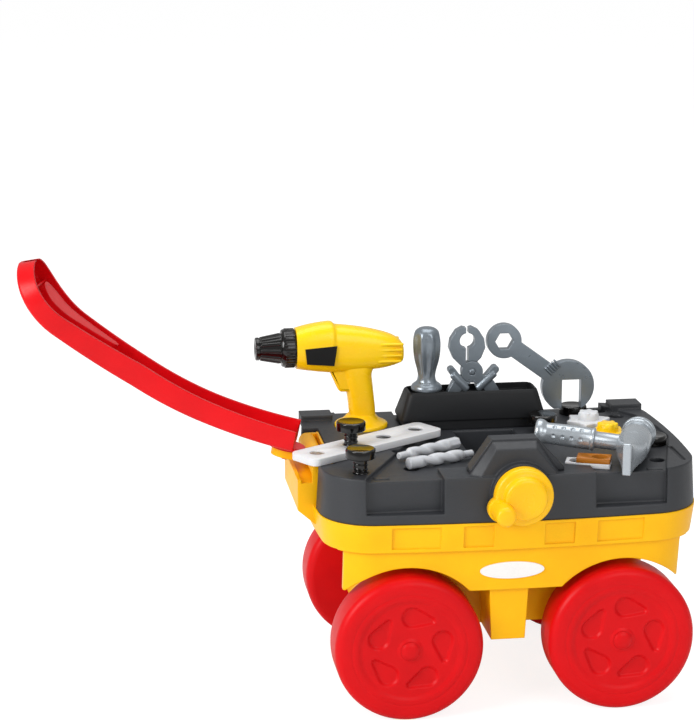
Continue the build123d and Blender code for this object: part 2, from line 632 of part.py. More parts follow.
CAP_START = HANDLE_LEN - HANDLE_CAP_LEN
HANDLE_STATIONS = [CAP_START * k / 9 for k in range(9)]
HANDLE_STATIONS += [CAP_START + HANDLE_CAP_LEN * sin(radians(a)) for a in (0, 15, 30, 42, 54, 66, 76, 82)]
grip_slope = radians(blend(HANDLE_SLOPES, SLOT_MID / HANDLE_LEN))
grip_origin = handle_plane(SLOT_MID).origin
slot_plane = Plane(origin=grip_origin, x_dir=(-cos(grip_slope), 0, sin(grip_slope)),
                   z_dir=(sin(grip_slope), 0, cos(grip_slope)))
slot_shape = Location((SLOT_REACH / 2, 0, 0)) * (Location((0, 0, 0), (0, 0, 180)) * teardrop(
    SLOT_R, SLOT_TIP_R, SLOT_REACH))
rim_shape = Location((SLOT_REACH / 2, 0, 0)) * (Location((0, 0, 0), (0, 0, 180)) * teardrop(
    SLOT_R + SLOT_RIM, SLOT_TIP_R + SLOT_RIM, SLOT_REACH))
with BuildPart() as grip_ring:
    add(handle_body(SLOT_RIM, SLOT_LIP, 4))
    with BuildSketch(slot_plane.offset(-SLOT_CUT / 2)):
        add(rim_shape)
    extrude(amount=SLOT_CUT, mode=Mode.INTERSECT)
with BuildPart() as handle:
    add(handle_body(0, 0, 2))
    add(handle_body(HANDLE_T, -HANDLE_T, 4), mode=Mode.SUBTRACT)
    add(grip_ring.part)
    with BuildSketch(slot_plane.offset(-SLOT_CUT / 2)):
        add(slot_shape)
    extrude(amount=SLOT_CUT, mode=Mode.SUBTRACT)
    # rounded root over the swing pin, with the pin moulded on
    with BuildSketch(pin_plane):
        Circle(ROOT_R)
    extrude(amount=-HANDLE_T)
    with BuildSketch(pin_plane):
        Circle(PIN_R)
    extrude(amount=-HANDLE_T - LOOSE - TONGUE_T - 1.5)
handle_at_rest = handle.part.rotate(Axis((SWING_X, 0, pin_top_z), pin_axis_dir), -SWING_DEG)
save(handle_at_rest, "handle")

# ================================================================ lid
with BuildPart() as lid:
    with BuildSketch(Plane.XY.offset(LID_Z)):
        add(footprint(LID_INSET))
    with BuildSketch(Plane.XY.offset(LID_TOP)):
        add(footprint(LID_TOP_INSET))
    loft(ruled=True)
    # set-back bays in the long walls
    for x0, x1 in ((-121.0, BLOCK_X0), (BLOCK_X1, 121.0)):
        block(x0, x1, -HALF_WID - 5, BAY_Y, LEDGE_Z, LID_TOP + 1, mode=Mode.SUBTRACT)
    block(-REAR_BAY_X, REAR_BAY_X, REAR_Y, HALF_WID + 5, LEDGE_Z, LID_TOP + 1, mode=Mode.SUBTRACT)
    # sunk work floor between the raised ends
    with BuildSketch(Plane.XY.offset(FLOOR_Z)):
        with BuildLine():
            Polyline(*FLOOR_OUTLINE, close=True)
        make_face()
    extrude(amount=LID_TOP, mode=Mode.SUBTRACT)
    # notch for the hitch
    block(-HALF_LEN - 5, NOTCH_X, -NOTCH_HALF_Y, NOTCH_HALF_Y, LID_Z - 1, LID_TOP + 1, mode=Mode.SUBTRACT)
    # underside hollow
    with BuildSketch(Plane.XY.offset(LID_Z)):
        add(footprint(LID_CAVITY_INSET))
        rect(-HALF_LEN, BAY_Y + WALL, HALF_LEN, REAR_Y - WALL, mode=Mode.INTERSECT)
        rect(-HALF_LEN, -NOTCH_HALF_Y - WALL, NOTCH_X + WALL, NOTCH_HALF_Y + WALL, mode=Mode.SUBTRACT)
    extrude(amount=FLOOR_Z - WALL - LID_Z, mode=Mode.SUBTRACT)
    # locating lip inside the tub rim
    with BuildSketch(Plane.XY.offset(LID_Z)):
        add(footprint(LIP_INSET))
        add(footprint(LIP_INSET + WALL), mode=Mode.SUBTRACT)
        rect(-HALF_LEN, -NOTCH_HALF_Y, -CORNER_X + 8, NOTCH_HALF_Y, mode=Mode.SUBTRACT)
    extrude(amount=-LIP_DEEP)
    # raised corner tiles at the back
    for x_side in (-1, 1):
        block(x_side * TILE_X - TILE_HALF_X, x_side * TILE_X + TILE_HALF_X, TILE_Y0, TILE_Y1,
              FLOOR_Z - 1, TILE_Z)
    # round seat for the drill base
    with Locations((DRILL_X, DRILL_Y, LID_TOP)):
        Cylinder(DRILL_BASE_R + LOOSE, 2 * DRILL_SEAT, mode=Mode.SUBTRACT)
    # trench of the vice and its walls
    block(SCREW_X - TRENCH_HALF_X - WALL, SCREW_X + TRENCH_HALF_X + WALL, TRENCH_Y0 - WALL,
          TRENCH_Y1 + WALL, TRENCH_Z - WALL, FLOOR_Z - 1)
    block(SCREW_X - TRENCH_HALF_X, SCREW_X + TRENCH_HALF_X, TRENCH_Y0, TRENCH_Y1, TRENCH_Z,
          LID_TOP + 1, mode=Mode.SUBTRACT)
    # fixed front cheek of the vice, tapered towards the crank
    for y, ends, z_top in (
        (TRENCH_Y0, CHEEK_BACK, CHEEK_BACK_Z), (HOUSING_Y, CHEEK_FRONT, CHEEK_FRONT_Z),
    ):
        with BuildSketch(side_plane(y)):
            with BuildLine():
                Polyline((ends[0][0], LID_TOP - 1), (ends[0][1], z_top), (ends[1][0], z_top),
                         (ends[1][1], LID_TOP - 1), close=True)
            make_face()
    loft(ruled=True)
    # collar around the screw, cut level with the lid's lower edge
    with BuildSketch(side_plane(COLLAR_Y)):
        with Locations((SCREW_X, SCREW_Z)):
            Circle(COLLAR_R)
        rect(SCREW_X - COLLAR_R, LID_Z, SCREW_X + COLLAR_R, HUMP_Z, mode=Mode.INTERSECT)
    extrude(amount=-(HOUSING_Y - COLLAR_Y))
    # bores for the screw and its retainer
    with Locations((SCREW_X, (COLLAR_Y + TRENCH_Y0) / 2, SCREW_Z)):
        Cylinder(SCREW_R + RUN_FIT, TRENCH_Y0 - COLLAR_Y + 4, rotation=(90, 0, 0), mode=Mode.SUBTRACT)
    with Locations((SCREW_X, TRENCH_Y0 - RETAINER_T / 2, SCREW_Z)):
        Cylinder(RETAINER_R + 0.5, RETAINER_T + 2 * LOOSE, rotation=(90, 0, 0), mode=Mode.SUBTRACT)
    # bolt holes with bosses underneath
    for x, y in HOLES:
        with Locations((x, y, FLOOR_Z - HOLE_BOSS_DEEP / 2 - 0.5)):
            Cylinder(HOLE_BOSS_R, HOLE_BOSS_DEEP)
    for x, y in HOLES:
        with Locations((x, y, FLOOR_Z - HOLE_BOSS_DEEP / 2)):
            Cylinder(HOLE_R, 2 * HOLE_BOSS_DEEP, mode=Mode.SUBTRACT)
    # peg holes for the tool rack
    for x_side in (-1, 1):
        with Locations((RACK_X + x_side * RACK_PEG_X, RACK_PEG_Y, FLOOR_Z - 6)):
            Cylinder(PEG_BOSS_R, 11)
        with Locations((RACK_X + x_side * RACK_PEG_X, RACK_PEG_Y, FLOOR_Z - 6)):
            Cylinder(RACK_PEG_R + RUN_FIT, 20, mode=Mode.SUBTRACT)
    # groove in the right-hand end and two small raised tabs
    with BuildSketch(Plane.XY.offset(LID_TOP)):
        with Locations(Location((GROOVE_X, -62, 0), (0, 0, 90))):
            SlotOverall(42, 4)
    extrude(amount=-1.5, mode=Mode.SUBTRACT)
    for x, y in TABS:
        block(x - TAB_HALF_X, x + TAB_HALF_X, y - TAB_HALF_Y, y + TAB_HALF_Y, FLOOR_Z - TAB_SUNK,
              FLOOR_Z + TAB_H)
save(lid.part, "lid")

# ================================================================ vice
with BuildPart() as screw:
    screw_y0 = CRANK_Y - SOCKET_DEEP
    screw_y1 = JAW_Y1 + JAW_TRAVEL + SCREW_TAIL
    with Locations((SCREW_X, (screw_y0 + screw_y1) / 2, SCREW_Z)):
        Cylinder(SCREW_R, screw_y1 - screw_y0, rotation=(90, 0, 0))
    chamfer(screw.edges().filter_by(GeomType.CIRCLE).sort_by(Axis.Y)[-1], 1)
save(screw.part, "vice_screw")

with BuildPart() as retainer:
    with Locations((SCREW_X, TRENCH_Y0 - LOOSE - RETAINER_T / 2, SCREW_Z)):
        Cylinder(RETAINER_R, RETAINER_T, rotation=(90, 0, 0))
        Cylinder(SCREW_R + RUN_FIT, 2 * RETAINER_T, rotation=(90, 0, 0), mode=Mode.SUBTRACT)
save(retainer.part, "vice_retainer")

with BuildPart() as crank:
    with BuildSketch(side_plane(CRANK_Y, SCREW_X, SCREW_Z)):
        Circle(CRANK_R)
        with Locations((LOBE_DX, LOBE_DZ)):
            Circle(LOBE_R)
    extrude(amount=CRANK_T)
    with BuildSketch(side_plane(CRANK_Y - CRANK_T, SCREW_X, SCREW_Z)):
        Circle(BUTTON_R)
    extrude(amount=BUTTON_T)
    fillet(crank.edges().group_by(Axis.Y)[0], 2.5)
    with BuildSketch(side_plane(CRANK_Y - CRANK_T, SCREW_X, SCREW_Z)):
        with Locations((LOBE_DX, LOBE_DZ)):
            Circle(PEG_R)
    extrude(amount=PEG_LEN)
    fillet(crank.edges().group_by(Axis.Y)[0], 2)
    with Locations((SCREW_X, CRANK_Y - SOCKET_DEEP / 2, SCREW_Z)):
        Cylinder(SCREW_R + RUN_FIT, SOCKET_DEEP + SEAT_GAP, rotation=(90, 0, 0), mode=Mode.SUBTRACT)
save(crank.part, "vice_crank")

with BuildPart() as jaw:
    with BuildSketch(side_plane(JAW_Y0)):
        with BuildLine():
            Polyline(
                (-JAW_HALF_X, LID_TOP + LOOSE), (-JAW_HALF_X, LID_TOP + JAW_EDGE_H), (JAW_TOP_X[0], HUMP_Z),
                (JAW_TOP_X[1], HUMP_Z), (JAW_HALF_X, LID_TOP + JAW_EDGE_H), (JAW_HALF_X, LID_TOP + LOOSE),
                close=True,
            )
        make_face()
        rect(SCREW_X - TRENCH_HALF_X + 2 * LOOSE, TRENCH_Z + LOOSE,
             SCREW_X + TRENCH_HALF_X - 2 * LOOSE, LID_TOP + JAW_EDGE_H)
    extrude(amount=-JAW_T)
    with Locations((SCREW_X, (JAW_Y0 + JAW_Y1) / 2, SCREW_Z)):
        Cylinder(SCREW_R + RUN_FIT, 2 * JAW_T, rotation=(90, 0, 0), mode=Mode.SUBTRACT)
save(jaw.part, "vice_jaw")

# ================================================================ tool rack
with BuildPart() as rack:
    with BuildSketch(Plane.XY.offset(FLOOR_Z + SEAT_GAP)):
        rect(RACK_X - RACK_FOOT_X, RACK_FOOT_Y0, RACK_X + RACK_FOOT_X, RACK_FOOT_Y1)
    extrude(amount=RACK_STEP_Z - FLOOR_Z - SEAT_GAP)
    with BuildSketch(Plane.XY.offset(RACK_STEP_Z)):
        rect(RACK_X - RACK_BASE_X, RACK_BASE_Y0, RACK_X + RACK_BASE_X, RACK_BASE_Y1)
    with BuildSketch(Plane.XY.offset(RACK_TOP_Z)):
        rect(RACK_X - RACK_TOP_X, RACK_TOP_Y0, RACK_X + RACK_TOP_X, RACK_TOP_Y1)
    loft(ruled=True)
    # underside hollow
    with BuildSketch(Plane.XY.offset(FLOOR_Z)):
        rect(RACK_X - RACK_FOOT_X + WALL, RACK_FOOT_Y0 + WALL,
             RACK_X + RACK_FOOT_X - WALL, RACK_FOOT_Y1 - WALL)
    with BuildSketch(Plane.XY.offset(RACK_DECK_Z - WALL)):
        rect(RACK_X - RACK_TOP_X + WALL, RACK_TOP_Y0 + WALL,
             RACK_X + RACK_TOP_X - WALL, RACK_TOP_Y1 - WALL)
    loft(ruled=True, mode=Mode.SUBTRACT)
    # sunk deck inside a raised rim
    with BuildSketch(Plane.XY.offset(RACK_DECK_Z)):
        rect(RACK_X - RACK_TOP_X + RACK_WALL, RACK_TOP_Y0 + RACK_WALL,
             RACK_X + RACK_TOP_X - RACK_WALL, RACK_TOP_Y1 - RACK_WALL)
    extrude(amount=RACK_TOP_Z, mode=Mode.SUBTRACT)
    # openings for the tools
    with BuildSketch(Plane.XY.offset(RACK_DECK_Z - 2 * WALL)):
        with Locations((DRIVER_X, RACK_Y)):
            Circle(DRIVER_SHAFT_R + LOOSE)
        rect(PLIERS_SLOT_X0, SLOT_Y0, PLIERS_SLOT_X1, SLOT_Y1)
        rect(SPARE_SLOT_X0, SLOT_Y0, SPARE_SLOT_X1, SLOT_Y1)
    extrude(amount=4 * WALL, mode=Mode.SUBTRACT)
    # pegs into the lid
    for x_side in (-1, 1):
        x = RACK_X + x_side * RACK_PEG_X
        with Locations((x, RACK_PEG_Y, (FLOOR_Z + SEAT_GAP + RACK_STEP_Z) / 2)):
            Cylinder(PEG_BOSS_R, RACK_STEP_Z - FLOOR_Z - SEAT_GAP)
        with Locations((x, RACK_PEG_Y, FLOOR_Z - 3)):
            Cylinder(RACK_PEG_R, 10)
save(rack.part, "tool_rack")

# ================================================================ play drill
with BuildPart() as drill:
    for x, z0, z1, width, corner in DRILL_SECTIONS:
        with BuildSketch(Plane(origin=(x, DRILL_Y, (z0 + z1) / 2), x_dir=(0, 1, 0), z_dir=(1, 0, 0))):
            RectangleRounded(width, z1 - z0, corner * DRILL_SOFTEN if z1 - z0 > NOSE_H else NOSE_R)
    loft(ruled=True)
    with BuildSketch(Plane(origin=(GRIP_TOP_X, DRILL_Y, GRIP_TOP_Z))):
        RectangleRounded(GRIP_TOP_L, GRIP_W, 8)
    with BuildSketch(Plane(origin=(GRIP_LOW_X, DRILL_Y, GRIP_LOW_Z))):
        RectangleRounded(GRIP_LOW_L, GRIP_W - 2, 8)
    loft(ruled=True)
    foot_z = LID_TOP - DRILL_SEAT + SEAT_GAP
    with BuildSketch(Plane(origin=(DRILL_X, DRILL_Y, foot_z))):
        Circle(DRILL_BASE_R)
    extrude(amount=DRILL_FOOT_T)
    with BuildSketch(Plane(origin=(DRILL_X, DRILL_Y, foot_z + DRILL_FOOT_T))):
        Circle(DRILL_BASE_R - 1)
    with BuildSketch(Plane(origin=(DRILL_X, DRILL_Y, foot_z + 3 * DRILL_FOOT_T))):
        Circle(GRIP_LOW_L / 2)
    loft(ruled=True)
    block(*TRIGGER_X, DRILL_Y - TRIGGER_HALF_Y, DRILL_Y + TRIGGER_HALF_Y, *TRIGGER_Z)
    with Locations((SPINDLE_X0, DRILL_Y, DRILL_AXIS_Z)):
        Cylinder(SPINDLE_R + RUN_FIT, 2 * (SPINDLE_X1 - SPINDLE_X0 + 1), rotation=(0, 90, 0),
                 mode=Mode.SUBTRACT)
save(drill.part, "drill_body")

with BuildPart() as chuck:
    with BuildSketch(Plane(origin=(0, DRILL_Y, DRILL_AXIS_Z), x_dir=(1, 0, 0), z_dir=(0, -1, 0))):
        with BuildLine():
            Polyline(
                (CHUCK_PROFILE[0][0], 0), *CHUCK_PROFILE,
                (DRILL_SECTIONS[0][0] - CHUCK_GAP, CHUCK_PROFILE[-1][1] - 1.5),
                (DRILL_SECTIONS[0][0] - CHUCK_GAP, 0), close=True,
            )
        make_face()
    revolve(axis=Axis((0, DRILL_Y, DRILL_AXIS_Z), (1, 0, 0)))
    with Locations((CHUCK_PROFILE[0][0], DRILL_Y, DRILL_AXIS_Z)):
        Cylinder(CHUCK_BORE_R, 2 * CHUCK_BORE_L, rotation=(0, 90, 0), mode=Mode.SUBTRACT)
    with Locations((DRILL_SECTIONS[0][0], DRILL_Y, DRILL_AXIS_Z)):
        Cylinder(SPINDLE_R + PRESS_GAP, 2 * (DRILL_SECTIONS[0][0] - SPINDLE_X0), rotation=(0, 90, 0),
                 mode=Mode.SUBTRACT)
save(chuck.part, "drill_chuck")

with BuildPart() as spindle:
    with Locations(((SPINDLE_X0 + SPINDLE_X1) / 2, DRILL_Y, DRILL_AXIS_Z)):
        Cylinder(SPINDLE_R, SPINDLE_X1 - SPINDLE_X0, rotation=(0, 90, 0))
save(spindle.part, "drill_spindle")

with BuildPart() as label:
    with BuildSketch(side_plane(DRILL_Y - DRILL_W / 2 - PRESS_GAP)):
        with BuildLine():
            Polyline(*LABEL_POINTS, close=True)
        make_face()
    extrude(amount=LABEL_T)
save(label.part, "drill_label")

# ================================================================ screwdriver
with BuildPart() as driver:
    with BuildSketch(Plane(origin=(DRIVER_X, RACK_Y, 0), x_dir=(1, 0, 0), z_dir=(0, -1, 0))):
        with BuildLine():
            Polyline(
                (0, DRIVER_TIP_Z), (DRIVER_SHAFT_R, DRIVER_TIP_Z),
                (DRIVER_SHAFT_R, DRIVER_PROFILE[0][1]), *DRIVER_PROFILE,
                (0, DRIVER_PROFILE[-1][1]), close=True,
            )
        make_face()
    revolve(axis=Axis((DRIVER_X, RACK_Y, 0), (0, 0, 1)))
    with Locations((DRIVER_X, RACK_Y, 270)):
        with PolarLocations(DRIVER_PROFILE[6][0] + FLUTE_R / 2, FLUTES):
            Cylinder(FLUTE_R, 44, mode=Mode.SUBTRACT)
save(driver.part, "screwdriver")


# ================================================================ pliers
def pliers_half(side, grip_scale, reach, front):
    """One half: its jaw on one side, its grip on the other, half as thick at the pivot."""
    y_front = RACK_Y - PLIERS_T / 2
    disc_y = y_front if front else RACK_Y + SEAT_GAP
    away_side = 1 if front else -1
    away_y = RACK_Y - away_side * SEAT_GAP + away_side * (PLIERS_T / 2 + 1) / 2
    face = side_plane(y_front, PLIERS_X, PLIERS_Z)
    with BuildPart() as half:
        with BuildSketch(face):
            with BuildLine():
                Polyline(*[(MOUTH_MID + (x - 4.4) * side, z) for x, z in PLIERS_JAW], close=True)
            make_face()
            with Locations((MOUTH_MID, MOUTH_Z)):
                Circle(MOUTH_R, mode=Mode.SUBTRACT)
        extrude(amount=-PLIERS_T)
        with BuildSketch(face):
            with BuildLine():
                Polyline(*[(-x * side * grip_scale, -min(z, reach)) for x, z in PLIERS_GRIP], close=True)
            make_face()
        extrude(amount=-PLIERS_T)
        with BuildSketch(face):
            for x, z in (GUARD_IN, GUARD_OUT):
                with Locations((-x * side * grip_scale, z)):
                    Circle(GUARD_R)
            make_hull()
        extrude(amount=-PLIERS_T)
        # clear the other half's disc, then add this half's own
        with Locations((PLIERS_X, away_y, PLIERS_Z)):
            Cylinder(PLIERS_BOSS_R + LOOSE, PLIERS_T / 2 + 1, rotation=(90, 0, 0), mode=Mode.SUBTRACT)
        with BuildSketch(side_plane(disc_y, PLIERS_X, PLIERS_Z)):
            Circle(PLIERS_BOSS_R)
        extrude(amount=-PLIERS_T / 2 + SEAT_GAP)
        with Locations((PLIERS_X, RACK_Y, PLIERS_Z)):
            Cylinder(PLIERS_PIN_R + RUN_FIT, 2 * PLIERS_T, rotation=(90, 0, 0), mode=Mode.SUBTRACT)
    return half.part


save(pliers_half(-1, 1.0, PLIERS_REACH, True), "pliers_half_front")
save(pliers_half(1, PLIERS_LEFT_SCALE, PLIERS_REACH - ARM_LIFT, False), "pliers_half_back")

with BuildPart() as pliers_pin:
    with Locations((PLIERS_X, RACK_Y, PLIERS_Z)):
        Cylinder(PLIERS_PIN_R, PLIERS_T + 1, rotation=(90, 0, 0))
save(pliers_pin.part, "pliers_pin")

# ================================================================ wrench
shank_angle = degrees(atan2(HEAD_Z - RING_Z, HEAD_X - RING_X))
shank_len = sqrt((HEAD_X - RING_X) ** 2 + (HEAD_Z - RING_Z) ** 2)
with BuildPart() as wrench:
    with BuildSketch(side_plane(WRENCH_Y - WRENCH_T / 2)):
        with Locations((RING_X, RING_Z)):
            Circle(RING_R)
        with Locations((HEAD_X, HEAD_Z)):
            Circle(HEAD_R)
        with Locations(Location(((RING_X + HEAD_X) / 2, (RING_Z + HEAD_Z) / 2, 0), (0, 0, shank_angle))):
            Rectangle(shank_len, WRENCH_SHANK_W)
        with Locations((RING_X, RING_Z)):
            RegularPolygon(RING_AF / 2, 6, major_radius=False, mode=Mode.SUBTRACT)
        rect(WRENCH_GAP_X - WRENCH_GAP_W / 2, HEAD_Z - 2 * HEAD_R, WRENCH_GAP_X + WRENCH_GAP_W / 2,
             WRENCH_GAP_Z, mode=Mode.SUBTRACT)
        rect(HEAD_X - HEAD_R, HEAD_Z - 2 * HEAD_R, HEAD_X + HEAD_R, FLOOR_Z + BOLT_HEAD_H + 3 * SEAT_GAP,
             mode=Mode.SUBTRACT)
    extrude(amount=-WRENCH_T)
save(wrench.part, "wrench")

# ================================================================ hammer
axis_dir = Vector(cos(radians(HAMMER_TURN)), sin(radians(HAMMER_TURN)), 0)
cross_dir = Vector(-sin(radians(HAMMER_TURN)), cos(radians(HAMMER_TURN)), 0) * -1
face_at = Vector(HAMMER_FACE_X, HAMMER_FACE_Y, HAMMER_Z)
shank_dir = Vector(cos(radians(SHANK_TURN)) * cos(radians(SHANK_RISE)),
                   sin(radians(SHANK_TURN)) * cos(radians(SHANK_RISE)), sin(radians(SHANK_RISE)))
shank_at = face_at + axis_dir * SHANK_S


def head_plane(s):
    """Cross-section plane of the hammer head at a distance behind the face."""
    return Plane(origin=face_at + axis_dir * s, x_dir=cross_dir, z_dir=axis_dir)


def shank_plane(s):
    """Cross-section plane of the hammer handle at a distance from the head axis."""
    return Plane(origin=shank_at + shank_dir * s, z_dir=shank_dir)


with BuildPart() as hammer_head:
    with BuildSketch(head_plane(0)):
        Circle(HAMMER_FACE_R)
    extrude(amount=HAMMER_FACE_T)
    with BuildSketch(head_plane(HAMMER_FACE_T)):
        Circle(HAMMER_NECK_R)
    with BuildSketch(head_plane(HAMMER_HUB_S0)):
        Circle(HAMMER_HUB_R)
    loft(ruled=True)
    with BuildSketch(head_plane(HAMMER_HUB_S0)):
        Circle(HAMMER_HUB_R)
    extrude(amount=HAMMER_HUB_S1 - HAMMER_HUB_S0)
    with BuildSketch(head_plane(HAMMER_HUB_S1)):
        RectangleRounded(2 * HAMMER_HUB_R, 2 * HAMMER_HUB_R, HAMMER_HUB_R * 0.8)
    with BuildSketch(head_plane(HAMMER_LEN)):
        RectangleRounded(PEEN_T, PEEN_H, 1.5)
    loft(ruled=True)
    with BuildSketch(shank_plane(SHANK_IN - 0.2)):
        Circle(SHANK_R + RUN_FIT)
    extrude(amount=SHANK_LEN, mode=Mode.SUBTRACT)
save(hammer_head.part, "hammer_head")

with BuildPart() as hammer_handle:
    with BuildSketch(shank_plane(SHANK_IN)):
        Circle(SHANK_R)
    extrude(amount=SHANK_GRIP_S0 - SHANK_IN)
    with BuildSketch(shank_plane(SHANK_GRIP_S0)):
        Circle(SHANK_GRIP_R)
    extrude(amount=SHANK_GRIP_S1 - SHANK_GRIP_S0)
    with BuildSketch(shank_plane(SHANK_GRIP_S1)):
        Circle(SHANK_GRIP_R - 1)
    with BuildSketch(shank_plane(SHANK_LEN)):
        Circle(SHANK_BUTT_R)
    loft(ruled=True)
save(hammer_handle.part, "hammer_handle")

# ================================================================ bolts
for k, (x, y, z) in enumerate(BOLT_SPOTS):
    with BuildPart() as bolt:
        with BuildSketch(Plane(origin=(x, y, z))):
            Circle(BOLT_HEAD_R)
        extrude(amount=BOLT_HEAD_H)
        fillet(bolt.edges().group_by(Axis.Z)[-1], 1.2)
        with BuildSketch(Plane(origin=(x, y, z))):
            Circle(BOLT_R)
        extrude(amount=-BOLT_LEN)
        chamfer(bolt.edges().group_by(Axis.Z)[0], 1.2)
    save(bolt.part, f"bolt_{k + 1}")

# ================================================================ perforated plate
with BuildPart() as plate:
    with BuildSketch(Plane(origin=(PLATE_X, PLATE_Y, LID_TOP + SEAT_GAP)).rotated((0, 0, PLATE_TURN))):
        tail = PLATE_HOLES[0] * PLATE_PITCH - PLATE_TAIL
        nose = PLATE_HOLES[-1] * PLATE_PITCH + PLATE_NOSE
        rect(tail, -PLATE_W / 2, nose, PLATE_W / 2)
        for k in PLATE_HOLES:
            with Locations((k * PLATE_PITCH, 0)):
                Circle(HOLE_R, mode=Mode.SUBTRACT)
    extrude(amount=PLATE_T)
    fillet(plate.edges().filter_by(Axis.Z), 6)
save(plate.part, "perforated_plate")

# ================================================================ strips
for name, level, x0, x1, holes in (
    ("strip_grey", 0, -STRIP_L / 2, STRIP_L / 2, (-STRIP_HOLE_X, STRIP_HOLE_X)),
    ("strip_amber", 1, -STRIP_L / 2 + STRIP_STEP, STRIP_L / 2, (STRIP_HOLE_X,)),
):
    base_z = FLOOR_Z + SEAT_GAP + level * (STRIP_T + SEAT_GAP)
    with BuildPart() as strip:
        with BuildSketch(Plane(origin=(STRIP_X, STRIP_Y, base_z)).rotated((0, 0, STRIP_TURN))):
            rect(x0, -STRIP_W / 2, x1, STRIP_W / 2)
            for x in holes:
                with Locations((x, 0)):
                    Circle(HOLE_R, mode=Mode.SUBTRACT)
        extrude(amount=STRIP_T)
        fillet(strip.edges().filter_by(Axis.Z), 1)
    save(strip.part, name)

# ================================================================ star nuts
for name, x, y, radius, turn in NUT_SPOTS:
    with BuildPart() as nut:
        with BuildSketch(Plane(origin=(x, y, FLOOR_Z + SEAT_GAP)).rotated((0, 0, turn))):
            with BuildLine():
                Polyline(
                    *[
                        (
                            radius * (NUT_ROOT if k % 2 else 1) * cos(radians(180 / NUT_POINTS * k)),
                            radius * (NUT_ROOT if k % 2 else 1) * sin(radians(180 / NUT_POINTS * k)),
                        )
                        for k in range(2 * NUT_POINTS)
                    ],
                    close=True,
                )
            make_face()
        extrude(amount=NUT_FLANGE_T)
        fillet(nut.edges().filter_by(Axis.Z), 1.5)
        with BuildSketch(Plane(origin=(x, y, FLOOR_Z + SEAT_GAP + NUT_FLANGE_T))):
            Circle(NUT_HUB_R)
        extrude(amount=NUT_HUB_H)
        fillet(nut.edges().group_by(Axis.Z)[-1], 3.5)
        with Locations((x, y, FLOOR_Z)):
            Cylinder(NUT_BORE_R, 2 * NUT_BORE_H, mode=Mode.SUBTRACT)
    save(nut.part, name)

# ================================================================ play drill bits
for name, start, stop, hexed in (
    ("drill_bit_hex", (-86.0, -45.0), (-31.0, -11.0), True),
    ("drill_bit_twist", (-25.0, -44.0), (-82.0, -67.0), False),
):
    run = Vector(stop[0] - start[0], stop[1] - start[1], 0)
    length = run.length
    with BuildPart() as bit:
        base = Plane(origin=(start[0], start[1], FLOOR_Z + SEAT_GAP + BIT_R), z_dir=run)
        with BuildSketch(base):
            Circle(BIT_TIP_R)
        extrude(amount=length * 0.2)
        with BuildSketch(base.offset(length * 0.2)):
            Circle(BIT_R)
        extrude(amount=length * 0.62)
        with BuildSketch(base.offset(length * 0.82)):
            if hexed:
                RegularPolygon(BIT_HEX_AF / 2, 6, major_radius=False)
            else:
                Circle(BIT_R - 0.2)
        extrude(amount=length * 0.18)
    save(bit.part, name)
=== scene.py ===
"""Looks of a wheeled toy tool bench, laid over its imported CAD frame."""
import logging
import math
from dataclasses import dataclass
from enum import Enum
from typing import Callable, Iterable, Sequence

import bmesh
import bpy
from mathutils import Matrix, Vector


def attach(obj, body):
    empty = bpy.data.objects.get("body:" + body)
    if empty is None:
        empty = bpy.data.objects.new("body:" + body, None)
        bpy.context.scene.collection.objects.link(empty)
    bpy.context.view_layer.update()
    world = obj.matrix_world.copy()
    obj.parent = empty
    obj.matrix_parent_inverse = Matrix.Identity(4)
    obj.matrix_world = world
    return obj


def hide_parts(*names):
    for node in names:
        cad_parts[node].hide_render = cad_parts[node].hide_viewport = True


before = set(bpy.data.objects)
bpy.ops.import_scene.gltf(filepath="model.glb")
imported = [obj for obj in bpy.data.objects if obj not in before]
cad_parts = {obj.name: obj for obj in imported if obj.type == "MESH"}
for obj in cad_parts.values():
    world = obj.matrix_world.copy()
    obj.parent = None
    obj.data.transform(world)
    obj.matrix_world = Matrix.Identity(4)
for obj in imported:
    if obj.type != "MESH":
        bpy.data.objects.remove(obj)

log = logging.getLogger("tool_bench")
MM = 0.001
ORIGIN = Vector((-114.5, -15.3, 0.0))
EAST, NORTH, UP = Vector((1, 0, 0)), Vector((0, 1, 0)), Vector((0, 0, 1))
Point = Sequence[float]


def at(x: float, y: float, z: float) -> Vector:
    """A point given in millimetres from the tub's middle, as a place in the frame.

    Args:
        x: Distance along the bench.
        y: Distance away from the crank side.
        z: Height above the floor.

    Returns:
        The same place in metres in the shared frame.
    """
    return (Vector((x, y, z)) - ORIGIN) * MM


def srgb(code: str) -> tuple[float, float, float, float]:
    """Linear colour of a six-digit display colour.

    Args:
        code: Hexadecimal display colour, without a hash.

    Returns:
        Linear red, green, blue and alpha.
    """
    parts = [int(code[i:i + 2], 16) / 255 for i in (0, 2, 4)]
    lin = [c / 12.92 if c <= 0.04045 else ((c + 0.055) / 1.055) ** 2.4 for c in parts]
    return (lin[0], lin[1], lin[2], 1.0)


# ------------------------------------------------------------------ finishes
class Texture(Enum):
    """How the skin of a moulding is finished."""

    GLOSS = "gloss"
    SATIN = "satin"
    SPARK = "spark"
    METALLIC = "metallic"
    STEEL = "steel"


@dataclass(frozen=True)
class Finish:
    """One plastic or metal finish.

    Args:
        name: Maker's name of the finish.
        colour: Display colour of the lit face.
        shade: Display colour that the mottling drifts towards.
        texture: Kind of moulded skin.
        rough: Middle roughness.
        grain: Size of the skin's grain in millimetres.
        depth: Strength of the grain's bump.
        coat: Weight of the clear skin.
        glow: Part of the light that scatters inside the plastic.
        slot: Material slot of the record.
        edge: Rounding that catches the light along crisp edges, in millimetres.
        shine: Strength of the mirror-like part of the light.
    """

    name: str
    colour: str
    shade: str
    texture: Texture
    rough: float
    grain: float
    depth: float
    coat: float = 0.0
    # slot: Material slot of the record; not used.
    glow: float = 0.0
    slot: str = "lid_grey"
    edge: float = 0.8
    shine: float = 0.5


